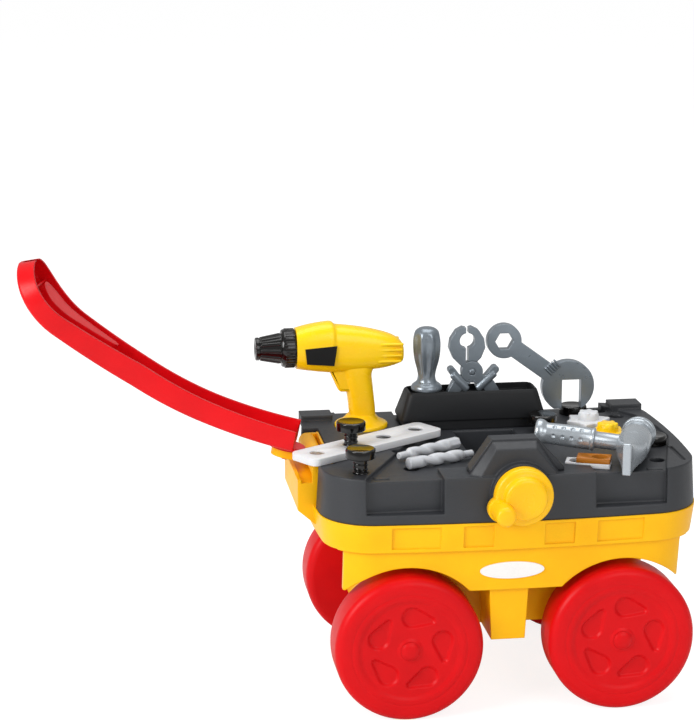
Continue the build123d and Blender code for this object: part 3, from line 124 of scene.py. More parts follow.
class Paint(Enum):
    """Every finish on the bench."""

    YELLOW = Finish("tub yellow", "FFC206", "F7AC00", Texture.SATIN,
        0.36, 0.9, 0.05, 0.0, 0.05, "tub_yellow", 1.3, 0.22)
    RED = Finish("wheel red", "D8060F", "BE040C", Texture.SATIN,
        0.38, 0.9, 0.05, 0.0, 0.03, "red", 0.8, 0.18)
    HANDLE_RED = Finish("handle red", "DE0A14", "C4060E", Texture.SATIN,
        0.32, 0.8, 0.04, 0.0, 0.03, "red", 1.0, 0.22)
    GREY = Finish("lid grey", "2E3034", "292B2E", Texture.SPARK,
        0.46, 0.35, 0.14, 0.0, 0.0, "lid_grey", 2.4, 0.50)
    RACK = Finish("rack black", "1C1D1F", "161719", Texture.SPARK,
        0.50, 0.35, 0.14, 0.0, 0.0, "rack_black", 1.4, 0.26)
    CRANK = Finish("crank yellow", "FFC60A", "FBB404", Texture.GLOSS,
        0.28, 1.2, 0.03, 0.0, 0.05, "crank_yellow", 0.7, 0.35)
    DRILL = Finish("drill yellow", "FFD20C", "FCBA04", Texture.GLOSS,
        0.26, 1.2, 0.03, 0.0, 0.05, "drill_yellow", 0.8, 0.35)
    BLACK = Finish("gloss black", "0B0908", "070605", Texture.GLOSS,
        0.14, 1.4, 0.03, 0.25, 0.0, "gloss_black", 0.4, 0.40)
    TOOL = Finish("tool grey", "8A939B", "767F87", Texture.METALLIC,
        0.30, 0.25, 0.05, 0.1, 0.0, "tool_grey", 1.1, 0.5)
    HAMMER = Finish("hammer grey", "B6BDC3", "9FA7AE", Texture.METALLIC,
        0.28, 0.25, 0.05, 0.2, 0.0, "hammer_grey", 0.6, 0.5)
    PALE = Finish("pale grey", "DCDDDF", "CBCCCF", Texture.SATIN,
        0.38, 0.8, 0.05, 0.0, 0.05, "white", 0.5, 0.3)
    BIT = Finish("bit grey", "C6C8CC", "B2B5BA", Texture.SATIN,
        0.36, 0.8, 0.05, 0.0, 0.04, "white", 0.3, 0.35)
    # Yellow-orange strip darkened to amber brown: painted shade of the hammer's shadow in its colour.
    AMBER_PAINTED_SHADE = Finish("amber", "B8701F", "985A14", Texture.GLOSS,
        0.24, 1.0, 0.03, 0.1, 0.0, "amber", 0.4, 0.4)
    STEEL = Finish("axle steel", "9A9CA0", "7E8084", Texture.STEEL,
        0.28, 0.3, 0.04, 0.0, 0.0, "steel", 0.3, 0.5)
    BADGE = Finish("plain film", "F4F4F2", "EAEAE8", Texture.GLOSS,
        0.24, 1.5, 0.02, 0.1, 0.0, "badge", 0.3, 0.4)
    LABEL = Finish("black film", "0A0A0A", "080808", Texture.GLOSS,
        0.34, 1.5, 0.02, 0.0, 0.0, "label", 0.3, 0.25)


class Graph:
    """A node tree being wired up."""

    def __init__(self, tree: bpy.types.NodeTree) -> None:
        self.tree = tree

    def add(self, kind: str, inputs: dict | None = None, **settings: object) -> bpy.types.Node:
        """Adds a node.

        Args:
            kind: Type of the node.
            inputs: Value or source socket of each input, by name or number.
            settings: Properties of the node.

        Returns:
            The node.
        """
        node = self.tree.nodes.new(kind)
        for key, value in settings.items():
            setattr(node, key, value)
        for key, value in (inputs or {}).items():
            if isinstance(value, bpy.types.NodeSocket):
                self.tree.links.new(value, node.inputs[key])
            else:
                node.inputs[key].default_value = value
        return node


class SkinShop:
    """Builds the shared skin effect and one material for each finish."""

    INPUTS = (
        ("Colour", "Color", (0.8, 0.8, 0.8, 1)), ("Shade", "Color", (0.5, 0.5, 0.5, 1)),
        ("Roughness", "Float", 0.4), ("Spread", "Float", 0.1), ("Grain Scale", "Float", 900.0),
        ("Grain Depth", "Float", 0.05), ("Fleck", "Float", 0.0), ("Edge Radius", "Float", 0.0008),
    )
    OUTPUTS = (("Colour", "Color"), ("Roughness", "Float"), ("Normal", "Vector"))

    def __init__(self) -> None:
        self.group = self._skin()
        self.made: dict[str, bpy.types.Material] = {}

    def _skin(self) -> bpy.types.NodeTree:
        """The moulded-skin effect: mottled colour, uneven sheen, fine grain and rounded edges.

        Returns:
            A node group giving colour, roughness and normal.
        """
        tree = bpy.data.node_groups.new("MouldedSkin", "ShaderNodeTree")
        for name, kind, value in self.INPUTS:
            socket = tree.interface.new_socket(name=name, in_out="INPUT", socket_type="NodeSocket" + kind)
            socket.default_value = value
        for name, kind in self.OUTPUTS:
            tree.interface.new_socket(name=name, in_out="OUTPUT", socket_type="NodeSocket" + kind)
        add = Graph(tree).add
        given = add("NodeGroupInput").outputs
        place = add("ShaderNodeTexCoord").outputs["Object"]
        mottle = add("ShaderNodeTexNoise", {"Vector": place, "Scale": 22.0, "Detail": 4.0})
        grain = add("ShaderNodeTexNoise", {"Vector": place, "Scale": given["Grain Scale"], "Detail": 3.0,
                                           "Roughness": 0.6})
        smear = add("ShaderNodeTexNoise", {"Vector": place, "Scale": 75.0, "Detail": 5.0, "Distortion": 1.2})
        ramp = add("ShaderNodeMapRange", {"Value": mottle.outputs["Fac"], "From Min": 0.35, "From Max": 0.70,
                                          "To Min": 0.0, "To Max": 0.55})
        tint = add("ShaderNodeMix", data_type="RGBA", inputs={
            0: ramp.outputs["Result"], 6: given["Colour"], 7: given["Shade"]})
        fleck = add("ShaderNodeTexVoronoi", {"Vector": place, "Scale": given["Grain Scale"]})
        split = add("ShaderNodeSeparateColor", {"Color": fleck.outputs["Color"]})
        tone = add("ShaderNodeMapRange", {"Value": split.outputs["Red"], "From Min": 0.0, "From Max": 1.0,
                                          "To Min": -0.5, "To Max": 0.5})
        amount = add("ShaderNodeMath", {0: tone.outputs["Result"], 1: given["Fleck"], 2: 1.0},
                     operation="MULTIPLY_ADD").outputs["Value"]
        grey = add("ShaderNodeCombineColor", {"Red": amount, "Green": amount, "Blue": amount})
        lit = add("ShaderNodeMix", data_type="RGBA", blend_type="MULTIPLY", inputs={
            0: 1.0, 6: tint.outputs[2], 7: grey.outputs["Color"]})
        sway = add("ShaderNodeMath", {0: smear.outputs["Fac"], 1: 0.5}, operation="SUBTRACT")
        rough = add("ShaderNodeMath", operation="MULTIPLY_ADD", use_clamp=True, inputs={
            0: sway.outputs["Value"], 1: given["Spread"], 2: given["Roughness"]})
        edges = add("ShaderNodeBevel", {"Radius": given["Edge Radius"]}, samples=6)
        bump = add("ShaderNodeBump", {"Distance": 0.0004, "Strength": given["Grain Depth"],
                                      "Height": grain.outputs["Fac"], "Normal": edges.outputs["Normal"]})
        add("NodeGroupOutput", {"Colour": lit.outputs[2], "Roughness": rough.outputs["Value"],
                                "Normal": bump.outputs["Normal"]})
        return tree

    def get(self, paint: Paint) -> bpy.types.Material:
        """The material of a finish.

        Args:
            paint: Which finish.

        Returns:
            Its material, built once.
        """
        f = paint.value
        if f.name in self.made:
            return self.made[f.name]
        mat = bpy.data.materials.new(f.name.replace(" ", "_"))
        mat.use_nodes = True
        tree = mat.node_tree
        shader = tree.nodes["Principled BSDF"]
        metal = {Texture.METALLIC: 0.62, Texture.STEEL: 1.0}.get(f.texture, 0.0)
        fleck = {Texture.METALLIC: 0.12, Texture.SPARK: 0.18, Texture.STEEL: 0.12}.get(f.texture, 0.03)
        skin = Graph(tree).add("ShaderNodeGroup", node_tree=self.group, inputs={
            "Colour": srgb(f.colour), "Shade": srgb(f.shade), "Roughness": f.rough, "Spread": 0.16,
            "Grain Scale": 1000.0 / f.grain, "Grain Depth": f.depth, "Edge Radius": f.edge * MM,
            "Fleck": fleck,
        })
        for source, target in (("Colour", "Base Color"), ("Roughness", "Roughness"), ("Normal", "Normal")):
            tree.links.new(skin.outputs[source], shader.inputs[target])
        for key, value in (("Metallic", metal), ("Coat Weight", f.coat), ("Coat Roughness", 0.12),
                           ("IOR", 1.49), ("Specular IOR Level", f.shine)):
            shader.inputs[key].default_value = value
        if f.glow:
            shader.inputs["Subsurface Weight"].default_value = f.glow
            shader.inputs["Subsurface Scale"].default_value = 0.004
            shader.inputs["Subsurface Radius"].default_value = (1.0, 0.6, 0.3)
        self.made[f.name] = mat
        return mat


SKINS = SkinShop()


# ------------------------------------------------------------------ mesh workshop
def deliver(name: str, mesh: bpy.types.Mesh, paint: Paint, sharp: float) -> bpy.types.Object:
    """Turns a mesh into a finished piece at the origin, smooth where its faces nearly line up.

    Args:
        name: Name of the piece.
        mesh: Its mesh, already in place.
        paint: Its finish.
        sharp: Angle in degrees above which an edge stays crisp.

    Returns:
        The new object.
    """
    bm = bmesh.new()
    bm.from_mesh(mesh)
    bmesh.ops.remove_doubles(bm, verts=bm.verts, dist=1e-6)
    bmesh.ops.recalc_face_normals(bm, faces=bm.faces)
    limit = math.radians(sharp)
    for edge in bm.edges:
        edge.smooth = len(edge.link_faces) == 2 and edge.calc_face_angle(0.0) < limit
    for face in bm.faces:
        face.smooth = True
    bm.to_mesh(mesh)
    bm.free()
    mesh.name = name
    mesh.materials.clear()
    mesh.materials.append(SKINS.get(paint))
    for face in mesh.polygons:
        face.material_index = 0
    obj = bpy.data.objects.new(name, mesh)
    bpy.context.scene.collection.objects.link(obj)
    log.info("made %s with %d faces", name, len(mesh.polygons))
    return obj


def bake(obj: bpy.types.Object) -> bpy.types.Mesh:
    """The mesh an object's modifiers give; the object itself is removed.

    Args:
        obj: A working object with live modifiers, a curve or a mesh.

    Returns:
        A plain mesh in world place.
    """
    bpy.context.view_layer.update()
    graph = bpy.context.evaluated_depsgraph_get()
    mesh = bpy.data.meshes.new_from_object(obj.evaluated_get(graph), depsgraph=graph)
    mesh.transform(obj.matrix_world)
    data = obj.data
    bpy.data.objects.remove(obj)
    if isinstance(data, bpy.types.Mesh) and data.users == 0:
        bpy.data.meshes.remove(data)
    return mesh


def plain(name: str, verts: Iterable[Point], faces: Iterable[Sequence[int]]) -> bpy.types.Mesh:
    """A mesh from points and faces.

    Args:
        name: Name of the mesh.
        verts: Points in metres.
        faces: Corner numbers of each face.

    Returns:
        The mesh.
    """
    mesh = bpy.data.meshes.new(name)
    mesh.from_pydata([tuple(v) for v in verts], [], [tuple(f) for f in faces])
    mesh.update()
    return mesh


@dataclass(frozen=True)
class Seat:
    """A place to build in: an origin and three directions.

    Args:
        origin: Place in metres in the shared frame.
        across: Local X direction.
        along: Local Y direction.
    """

    origin: Vector
    across: Vector
    along: Vector

    @property
    def out(self) -> Vector:
        """Local Z direction."""
        return self.across.cross(self.along)

    def spot(self, x: float, y: float, z: float) -> Vector:
        """A local place given in millimetres, in metres in the frame."""
        return self.origin + (self.across * x + self.along * y + self.out * z) * MM

    def matrix(self) -> Matrix:
        """Matrix from local metres to the frame."""
        m = Matrix((self.across, self.along, self.out)).transposed().to_4x4()
        m.translation = self.origin
        return m


def upright(x: float, y: float, z: float, turn: float = 0.0) -> Seat:
    """A seat lying flat at a place in millimetres, turned about the vertical.

    Args:
        x: Distance along the bench.
        y: Distance across it.
        z: Height.
        turn: Turn in degrees.
    """
    a = math.radians(turn)
    return Seat(at(x, y, z), Vector((math.cos(a), math.sin(a), 0)), Vector((-math.sin(a), math.cos(a), 0)))


def facing(x: float, y: float, z: float, turn: float = 0.0) -> Seat:
    """A seat facing the crank side, with local X to the right and local Y up.

    Args:
        x: Distance along the bench.
        y: Distance across it.
        z: Height.
        turn: Turn in degrees about the outward direction.
    """
    a = math.radians(turn)
    return Seat(at(x, y, z), Vector((math.cos(a), 0, math.sin(a))), Vector((-math.sin(a), 0, math.cos(a))))


def pointing(start: Vector, direction: Vector, up: Vector = UP) -> Seat:
    """A seat whose local Z runs along a direction.

    Args:
        start: Origin in metres.
        direction: Where local Z points.
        up: Rough direction of local Y.
    """
    out = direction.normalized()
    across = up.cross(out).normalized()
    return Seat(start, across, out.cross(across))


def lathe(profile: Sequence[tuple[float, float]], seat: Seat, steps: int = 64) -> bpy.types.Mesh:
    """A turned shape about the seat's Z.

    Args:
        profile: Radius and height in millimetres, from one end to the other.
        seat: Where the axis stands.
        steps: Faces round the axis.

    Returns:
        A closed mesh when both ends reach the axis.
    """
    verts: list[Vector] = []
    rings: list[list[int]] = []
    for radius, height in profile:
        if radius < 1e-6:
            rings.append([len(verts)])
            verts.append(seat.spot(0, 0, height))
            continue
        ring = []
        for k in range(steps):
            a = 2 * math.pi * k / steps
            ring.append(len(verts))
            verts.append(seat.spot(radius * math.cos(a), radius * math.sin(a), height))
        rings.append(ring)
    faces = []
    for low, high in zip(rings, rings[1:]):
        for k in range(steps):
            j = (k + 1) % steps
            if len(low) == 1 and len(high) > 1:
                faces.append((low[0], high[k], high[j]))
            elif len(high) == 1 and len(low) > 1:
                faces.append((low[k], low[j], high[0]))
            elif len(low) > 1:
                faces.append((low[k], low[j], high[j], high[k]))
    return plain("lathe", verts, faces)


def rounded(profile: Sequence[tuple[float, float]], radii: dict[int, float], steps: int = 4) -> list:
    """A profile with chosen corners rounded.

    Args:
        profile: Points in millimetres.
        radii: Radius of each rounded corner, by its number.
        steps: Points on each rounded corner.

    Returns:
        The new profile.
    """
    out: list[tuple[float, float]] = []
    pts = [Vector(p) for p in profile]
    for k, p in enumerate(pts):
        r = radii.get(k, 0.0)
        if not r or k in (0, len(pts) - 1):
            out.append(tuple(p))
            continue
        a, b = pts[k - 1] - p, pts[k + 1] - p
        half = a.angle(b) / 2
        cut = min(r / math.tan(half), a.length * 0.49, b.length * 0.49)
        start, end = p + a.normalized() * cut, p + b.normalized() * cut
        for i in range(steps + 1):
            t = i / steps
            out.append(tuple(start * (1 - t) ** 2 + p * 2 * t * (1 - t) + end * t ** 2))
    return out


def smooth_line(points: Sequence[tuple[float, ...]], steps: int = 8) -> list[tuple[float, ...]]:
    """A smooth run through given points.

    Args:
        points: Points to pass through.
        steps: New points for each span.

    Returns:
        The finer run.
    """
    out = []
    n = len(points)
    for k in range(n - 1):
        p0, p1 = points[max(k - 1, 0)], points[k]
        p2, p3 = points[k + 1], points[min(k + 2, n - 1)]
        for i in range(steps):
            t = i / steps
            out.append(tuple(
                0.5 * ((2 * b) + (c - a) * t + (2 * a - 5 * b + 4 * c - d) * t * t
                       + (3 * b - a - 3 * c + d) * t ** 3)
                for a, b, c, d in zip(p0, p1, p2, p3)
            ))
    out.append(tuple(points[-1]))
    return out


def slab(outlines: Sequence[Sequence[tuple[float, float]]], seat: Seat, thick: float,
         edge: float = 0.6, steps: int = 2) -> bpy.types.Mesh:
    """A flat piece with softened edges, cut from closed outlines.

    Args:
        outlines: Closed outlines in millimetres; inner ones are holes.
        seat: Plane of the middle of the piece.
        thick: Thickness in millimetres.
        edge: Rounding of its edges.
        steps: Facets of the rounding.

    Returns:
        A closed mesh.
    """
    curve = bpy.data.curves.new("slab", "CURVE")
    curve.dimensions = "2D"
    curve.fill_mode = "BOTH"
    curve.extrude = (thick / 2 - edge) * MM
    curve.bevel_depth = edge * MM
    curve.bevel_resolution = steps
    curve.offset = -edge * MM
    for outline in outlines:
        spline = curve.splines.new("POLY")
        spline.points.add(len(outline) - 1)
        for p, (x, y) in zip(spline.points, outline):
            p.co = (x * MM, y * MM, 0, 1)
        spline.use_cyclic_u = True
    obj = bpy.data.objects.new("slab", curve)
    bpy.context.scene.collection.objects.link(obj)
    obj.matrix_world = seat.matrix()
    return bake(obj)


def corners(points: Sequence[tuple[float, float]], r: float, steps: int = 6) -> list[tuple[float, float]]:
    """A closed outline with every corner rounded."""
    wrapped = [points[-1], *points, points[0]]
    turned = rounded(wrapped, {k: r for k in range(1, len(wrapped) - 1)}, steps)
    return turned[1:-1]


def loft(sections: Sequence[Sequence[Vector]], caps: bool = True) -> bpy.types.Mesh:
    """A skin over closed sections with the same number of points.

    Args:
        sections: Rings of points in metres.
        caps: Close both ends.

    Returns:
        The mesh.
    """
    n = len(sections[0])
    verts = [p for ring in sections for p in ring]
    faces: list[tuple[int, ...]] = []
    for s in range(len(sections) - 1):
        for k in range(n):
            j = (k + 1) % n
            faces.append((s * n + k, s * n + j, (s + 1) * n + j, (s + 1) * n + k))
    if caps:
        faces.append(tuple(reversed(range(n))))
        faces.append(tuple(range((len(sections) - 1) * n, len(sections) * n)))
    return plain("loft", verts, faces)


def join(meshes: Sequence[bpy.types.Mesh]) -> bpy.types.Mesh:
    """One mesh holding several."""
    bm = bmesh.new()
    for mesh in meshes:
        bm.from_mesh(mesh)
    out = bpy.data.meshes.new("joined")
    bm.to_mesh(out)
    bm.free()
    for mesh in meshes:
        if mesh.users == 0:
            bpy.data.meshes.remove(mesh)
    return out


def trim(body: bpy.types.Mesh, cutter: bpy.types.Mesh, operation: str = "DIFFERENCE") -> bpy.types.Mesh:
    """Cuts, joins or intersects two closed meshes.

    Args:
        body: The mesh to keep.
        cutter: The other mesh.
        operation: DIFFERENCE, UNION or INTERSECT.

    Returns:
        The result.
    """
    scene = bpy.context.scene.collection
    a = bpy.data.objects.new("a", body)
    b = bpy.data.objects.new("b", cutter)
    scene.objects.link(a)
    scene.objects.link(b)
    mod = a.modifiers.new("cut", "BOOLEAN")
    mod.operation = operation
    mod.solver = "EXACT"
    mod.object = b
    mesh = bake(a)
    bpy.data.objects.remove(b)
    return mesh


def soften(mesh: bpy.types.Mesh, width: float, steps: int = 2, angle: float = 32.0) -> bpy.types.Mesh:
    """Rounds the crisp edges of a mesh.

    Args:
        mesh: The mesh.
        width: Width of the rounding in millimetres.
        steps: Facets of the rounding.
        angle: Least angle that counts as an edge.
    """
    obj = bpy.data.objects.new("soft", mesh)
    bpy.context.scene.collection.objects.link(obj)
    mod = obj.modifiers.new("soft", "BEVEL")
    mod.width = width * MM
    mod.segments = steps
    mod.limit_method = "ANGLE"
    mod.angle_limit = math.radians(angle)
    return bake(obj)


def from_cad(node: str, width: float = 0.0, steps: int = 2, angle: float = 28.0) -> bpy.types.Mesh:
    """A merged copy of a CAD node's mesh, with its crisp edges rounded if asked.

    Args:
        node: Name of the CAD node.
        width: Width of the rounding in millimetres; none leaves the edges as they are.
        steps: Facets of the rounding.
        angle: Least angle in degrees that counts as an edge.

    Returns:
        The copy. The node itself is left alone.
    """
    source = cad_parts[node].data
    mesh = plain(node, [v.co for v in source.vertices], [p.vertices for p in source.polygons])
    bm = bmesh.new()
    bm.from_mesh(mesh)
    bmesh.ops.remove_doubles(bm, verts=bm.verts, dist=2e-6)
    bmesh.ops.dissolve_degenerate(bm, dist=1e-6, edges=bm.edges)
    bmesh.ops.recalc_face_normals(bm, faces=bm.faces)
    bmesh.ops.dissolve_limit(bm, angle_limit=math.radians(0.6), verts=bm.verts, edges=bm.edges)
    bm.to_mesh(mesh)
    bm.free()
    return soften(mesh, width, steps, angle) if width else mesh


def fit(name: str, mesh: bpy.types.Mesh, paint: Paint, sharp: float, body: str, *nodes: str) -> None:
    """Finishes a piece, fixes it to its body and lets it stand for its CAD nodes.

    Args:
        name: Name of the piece.
        mesh: Its mesh, already in place.
        paint: Its finish.
        sharp: Angle in degrees above which an edge stays crisp.
        body: The body it moves with.
        nodes: CAD nodes it stands for.
    """
    obj = deliver(name, mesh, paint, sharp)
    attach(obj, body)
    if nodes:
        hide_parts(*nodes)


# ------------------------------------------------------------------ repeats
class Repeater:
    """Geometry Nodes trees that repeat an item in a row, round an axis, or wind a thread."""

    def __init__(self) -> None:
        self.row = self._tree("RepeatRow", self._row, Item="Object", Count="Int", Offset="Vector")
        self.ring = self._tree("RepeatRing", self._ring, Item="Object", Count="Int", Step="Float")
        self.coil = self._tree("WindCoil", self._coil, Turns="Float", Radius="Float", Length="Float",
                               Thread="Float")

    def _tree(self, name: str, fill: Callable, **wanted: str) -> bpy.types.NodeTree:
        """A tree that ends in real geometry with a material.

        Args:
            name: Name of the tree.
            fill: Adds its middle to a graph with given inputs, and returns the geometry socket.
            wanted: Kind of each of its named inputs.

        Returns:
            The tree.
        """
        tree = bpy.data.node_groups.new(name, "GeometryNodeTree")
        for key, kind in {"Material": "Material", **wanted}.items():
            tree.interface.new_socket(name=key, in_out="INPUT", socket_type="NodeSocket" + kind)
        tree.interface.new_socket(name="Geometry", in_out="OUTPUT", socket_type="NodeSocketGeometry")
        add = Graph(tree).add
        given = add("NodeGroupInput").outputs
        real = add("GeometryNodeRealizeInstances", {"Geometry": fill(add, given)})
        dress = add("GeometryNodeSetMaterial", {"Geometry": real.outputs["Geometry"],
                                                "Material": given["Material"]})
        add("NodeGroupOutput", {"Geometry": dress.outputs["Geometry"]})
        return tree

    @staticmethod
    def _copies(add: Callable, given: Sequence, offset: object, turns: dict) -> bpy.types.NodeSocket:
        """Copies of the item on a line of points.

        Args:
            add: Adds a node.
            given: The tree's inputs.
            offset: Step from one point to the next.
            turns: Inputs that turn the copies.
        """
        line = add("GeometryNodeMeshLine", {"Count": given["Count"], "Offset": offset})
        item = add("GeometryNodeObjectInfo", {"Object": given["Item"]})
        copies = add("GeometryNodeInstanceOnPoints", {
            "Points": line.outputs["Mesh"], "Instance": item.outputs["Geometry"], **turns})
        return copies.outputs["Instances"]

    def _row(self, add: Callable, given: Sequence) -> bpy.types.NodeSocket:
        """Copies of an item, one offset after another."""
        return self._copies(add, given, given["Offset"], {})

    def _ring(self, add: Callable, given: Sequence) -> bpy.types.NodeSocket:
        """Copies of an item turned round the local Z axis."""
        index = add("GeometryNodeInputIndex").outputs["Index"]
        turn = add("ShaderNodeMath", {0: index, 1: given["Step"]}, operation="MULTIPLY")
        euler = add("ShaderNodeCombineXYZ", {"Z": turn.outputs["Value"]})
        spin = add("FunctionNodeEulerToRotation", {"Euler": euler.outputs["Vector"]})
        return self._copies(add, given, (0, 0, 0), {"Rotation": spin.outputs["Rotation"]})

    def _coil(self, add: Callable, given: Sequence) -> bpy.types.NodeSocket:
        """A round thread wound along the local Z axis."""
        spiral = add("GeometryNodeCurveSpiral", {
            "Resolution": 20, "Rotations": given["Turns"], "Start Radius": given["Radius"],
            "End Radius": given["Radius"], "Height": given["Length"]})
        section = add("GeometryNodeCurvePrimitiveCircle", {"Resolution": 8, "Radius": given["Thread"]})
        sweep = add("GeometryNodeCurveToMesh", {
            "Fill Caps": True, "Curve": spiral.outputs["Curve"], "Profile Curve": section.outputs["Curve"]})
        return sweep.outputs["Mesh"]

    def make(self, tree: bpy.types.NodeTree, seat: Seat, paint: Paint,
             item: bpy.types.Mesh | None = None, **values: float) -> bpy.types.Mesh:
        """Runs a tree and returns its plain mesh.

        Args:
            tree: One of the three trees.
            seat: Where the row, ring or coil stands.
            paint: Finish of the copies.
            item: Mesh to repeat, in local metres.
            values: Values of the tree's named inputs.

        Returns:
            A plain mesh in the frame.
        """
        holder = bpy.data.objects.new("holder", bpy.data.meshes.new("holder"))
        bpy.context.scene.collection.objects.link(holder)
        mod = holder.modifiers.new("repeat", "NODES")
        mod.node_group = tree
        pattern = None
        if item is not None:
            pattern = bpy.data.objects.new("item", item)
            bpy.context.scene.collection.objects.link(pattern)
            values["Item"] = pattern
        values["Material"] = SKINS.get(paint)
        for socket in tree.interface.items_tree:
            if socket.in_out == "INPUT" and socket.name in values:
                mod[socket.identifier] = values[socket.name]
        holder.matrix_world = seat.matrix()
        mesh = bake(holder)
        if pattern is not None:
            bpy.data.objects.remove(pattern)
            bpy.data.meshes.remove(item)
        return mesh


REPEAT = Repeater()
HERE = Seat(Vector((0, 0, 0)), EAST, NORTH)


def pill(length: float, width: float, height: float, seat: Seat = HERE, steps: int = 6) -> bpy.types.Mesh:
    """A long low bump with round ends, lying along the seat's X.

    Args:
        length: Overall length in millimetres.
        width: Overall width.
        height: Height above and below the seat.
        seat: Where it lies.
        steps: Facets of each round end.
    """
    rings = []
    reach = length / 2 - width / 2
    for k in range(2 * steps + 1):
        a = math.pi * k / (2 * steps)
        side = math.sin(a)
        shift = -math.cos(a) * width / 2 + (reach if k > steps else -reach if k < steps else 0)
        for extra in ((-reach, reach) if k == steps else (shift,)):
            spots = []
            for j in range(12):
                b = 2 * math.pi * j / 12
                spots.append(seat.spot(
                    extra, max(side, 0.02) * width / 2 * math.cos(b), max(side, 0.02) * height * math.sin(b)))
            rings.append(spots)
    return loft(rings)


# ------------------------------------------------------------------ rolling gear
@dataclass(frozen=True)
class WheelSize:
    """Sizes of one blown wheel in millimetres.

    Args:
        radius: Outer radius.
        width: Width of the tread.
        edge: Rounding of the tread's edges.
        dish: Depth of the dished face.
        dish_r: Radius of the dished face.
        groove_r: Radius of the fine groove in the tyre band.
        hub_r: Radius of the hub disc.
        bore: Radius of the axle bore.
        drops: Number of blind drop-shaped windows.
        drop_mid: Distance of a drop's wide end from the axle.
        drop_wide: Radius of the wide end.
        drop_tip: Radius of the narrow end.
        drop_reach: Distance between the two ends.
        drop_turn: Turn of the first drop in degrees.
        drop_slant: Slant of a drop against its spoke in degrees.
        drop_depth: Depth of a drop.
    """

    radius: float = 60.0
    width: float = 38.0
    edge: float = 7.0
    dish: float = 1.6
    dish_r: float = 41.0
    groove_r: float = 46.5
    hub_r: float = 9.0
    bore: float = 3.06
    drops: int = 5
    drop_mid: float = 27.2
    drop_wide: float = 8.9
    drop_tip: float = 3.4
    drop_reach: float = 15.5
    drop_turn: float = 14.0
    drop_slant: float = 98.0
    drop_depth: float = 2.4


def ease(value: float, low: float, high: float) -> float:
    """Smooth step from 0 at low to 1 at high."""
    t = min(max((value - low) / (high - low), 0.0), 1.0)
    return t * t * (3 - 2 * t)


class Wheel:
    """One wheel, with its dished face, swirling drops and fine groove."""

    def __init__(self, size: WheelSize = WheelSize()) -> None:
        self.size = size

    def _drop(self, x: float, y: float) -> float:
        """Distance from a point of the face to the nearest drop's outline, negative inside."""
        s = self.size
        best = 1e9
        for k in range(s.drops):
            turn = math.radians(s.drop_turn + 360 * k / s.drops)
            lean = turn - math.radians(s.drop_slant)
            px, py = x - s.drop_mid * math.cos(turn), y - s.drop_mid * math.sin(turn)
            along = px * math.cos(lean) + py * math.sin(lean)
            aside = abs(-px * math.sin(lean) + py * math.cos(lean))
            slope = (s.drop_wide - s.drop_tip) / s.drop_reach
            rise = math.sqrt(1 - slope * slope)
            reach = along - aside * slope / rise
            if reach < 0:
                gap = math.hypot(along, aside) - s.drop_wide
            elif reach > s.drop_reach:
                gap = math.hypot(along - s.drop_reach, aside) - s.drop_tip
            else:
                gap = along * slope + aside * rise - s.drop_wide
            best = min(best, gap)
        return best

    def _height(self, r: float, x: float, y: float) -> float:
        """Height of the outer face at a place."""
        s = self.size
        top = s.width / 2
        top -= s.dish * (1 - ease(r, s.dish_r - 3.0, s.dish_r + 2.4))
        top -= 0.3 * math.exp(-((r - s.groove_r) / 0.9) ** 2)
        top += (s.dish - 0.3) * (1 - ease(r, s.hub_r - 1.2, s.hub_r + 1.6))
        if s.hub_r < r < s.dish_r:
            top -= s.drop_depth * (1 - ease(self._drop(x, y), -2.2, 0.5))
        return top

    def mesh(self, seat: Seat, steps: int = 200) -> bpy.types.Mesh:
        """Builds the wheel with its axle along the seat's Z and its face outward.

        Args:
            seat: Middle of the wheel.
            steps: Faces round the axle.
        """
        s = self.size
        flat = s.radius - s.edge
        radii = [s.bore, 4.5, 6.5, 8.0, 9.0, 9.5, 10.0, 10.6, 11.4]
        radii += [11.4 + (38.6 - 11.4) * k / 40 for k in range(1, 41)]
        radii += [39.4, 40.2, 41.0, 41.8, 42.6, 44.5, 45.4, 45.8, 46.1, 46.5, 46.9, 47.2, 47.6, 48.5, flat]
        rings: list[list[Vector]] = []
        for r in radii:
            ring = []
            for k in range(steps):
                a = 2 * math.pi * k / steps
                x, y = r * math.cos(a), r * math.sin(a)
                ring.append(seat.spot(x, y, self._height(r, x, y)))
            rings.append(ring)
        side = [(flat + s.edge * math.sin(b), s.width / 2 - s.edge * (1 - math.cos(b)))
                for b in (math.radians(11.25 * k) for k in range(1, 9))]
        back = [(r, -z) for r, z in reversed(side)] + [(flat, -s.width / 2), (s.bore, -s.width / 2)]
        for r, z in side + back:
            rings.append([seat.spot(r * math.cos(2 * math.pi * k / steps),
                                    r * math.sin(2 * math.pi * k / steps), z) for k in range(steps)])
        rings.append(rings[0])
        return loft(rings, caps=False)


class RollingGear:
    """Four wheels, two axles and four domed hub caps."""

    HALF_BASE = 86.5
    MID_Y = 92.0
    AXLE_Z = 60.0
    FACE_Y = 111.0
    CAP = ((0.0, 2.4), (2.2, 2.35), (4.2, 2.05), (5.8, 1.45), (6.6, 0.95), (6.9, 0.6), (7.5, 0.45),
           (7.5, 0.0), (0.0, 0.0))

    def build(self) -> None:
        """Makes every piece of the rolling gear."""
        caps = []
        for side, y_side in (("left", -1), ("right", 1)):
            for end, x_side in (("front", -1), ("rear", 1)):
                x = x_side * self.HALF_BASE
                up = UP if y_side < 0 else Vector((0, 0, -1))
                seat = Seat(at(x, y_side * self.MID_Y, self.AXLE_Z), EAST, up)
                name = f"wheel_{end}_{side}"
                fit(name + "_blown", Wheel().mesh(seat), Paint.RED, 50, name, name)
                caps.append(lathe(self.CAP, Seat(
                    at(x, y_side * self.FACE_Y, self.AXLE_Z), EAST, up), 40))
        fit("caps_domed", join(caps), Paint.RED, 60, "chassis", "hub_caps")
        for end in ("front", "rear"):
            node = f"axle_{end}"
            fit(node + "_rod", from_cad(node), Paint.STEEL, 35, "chassis", node)


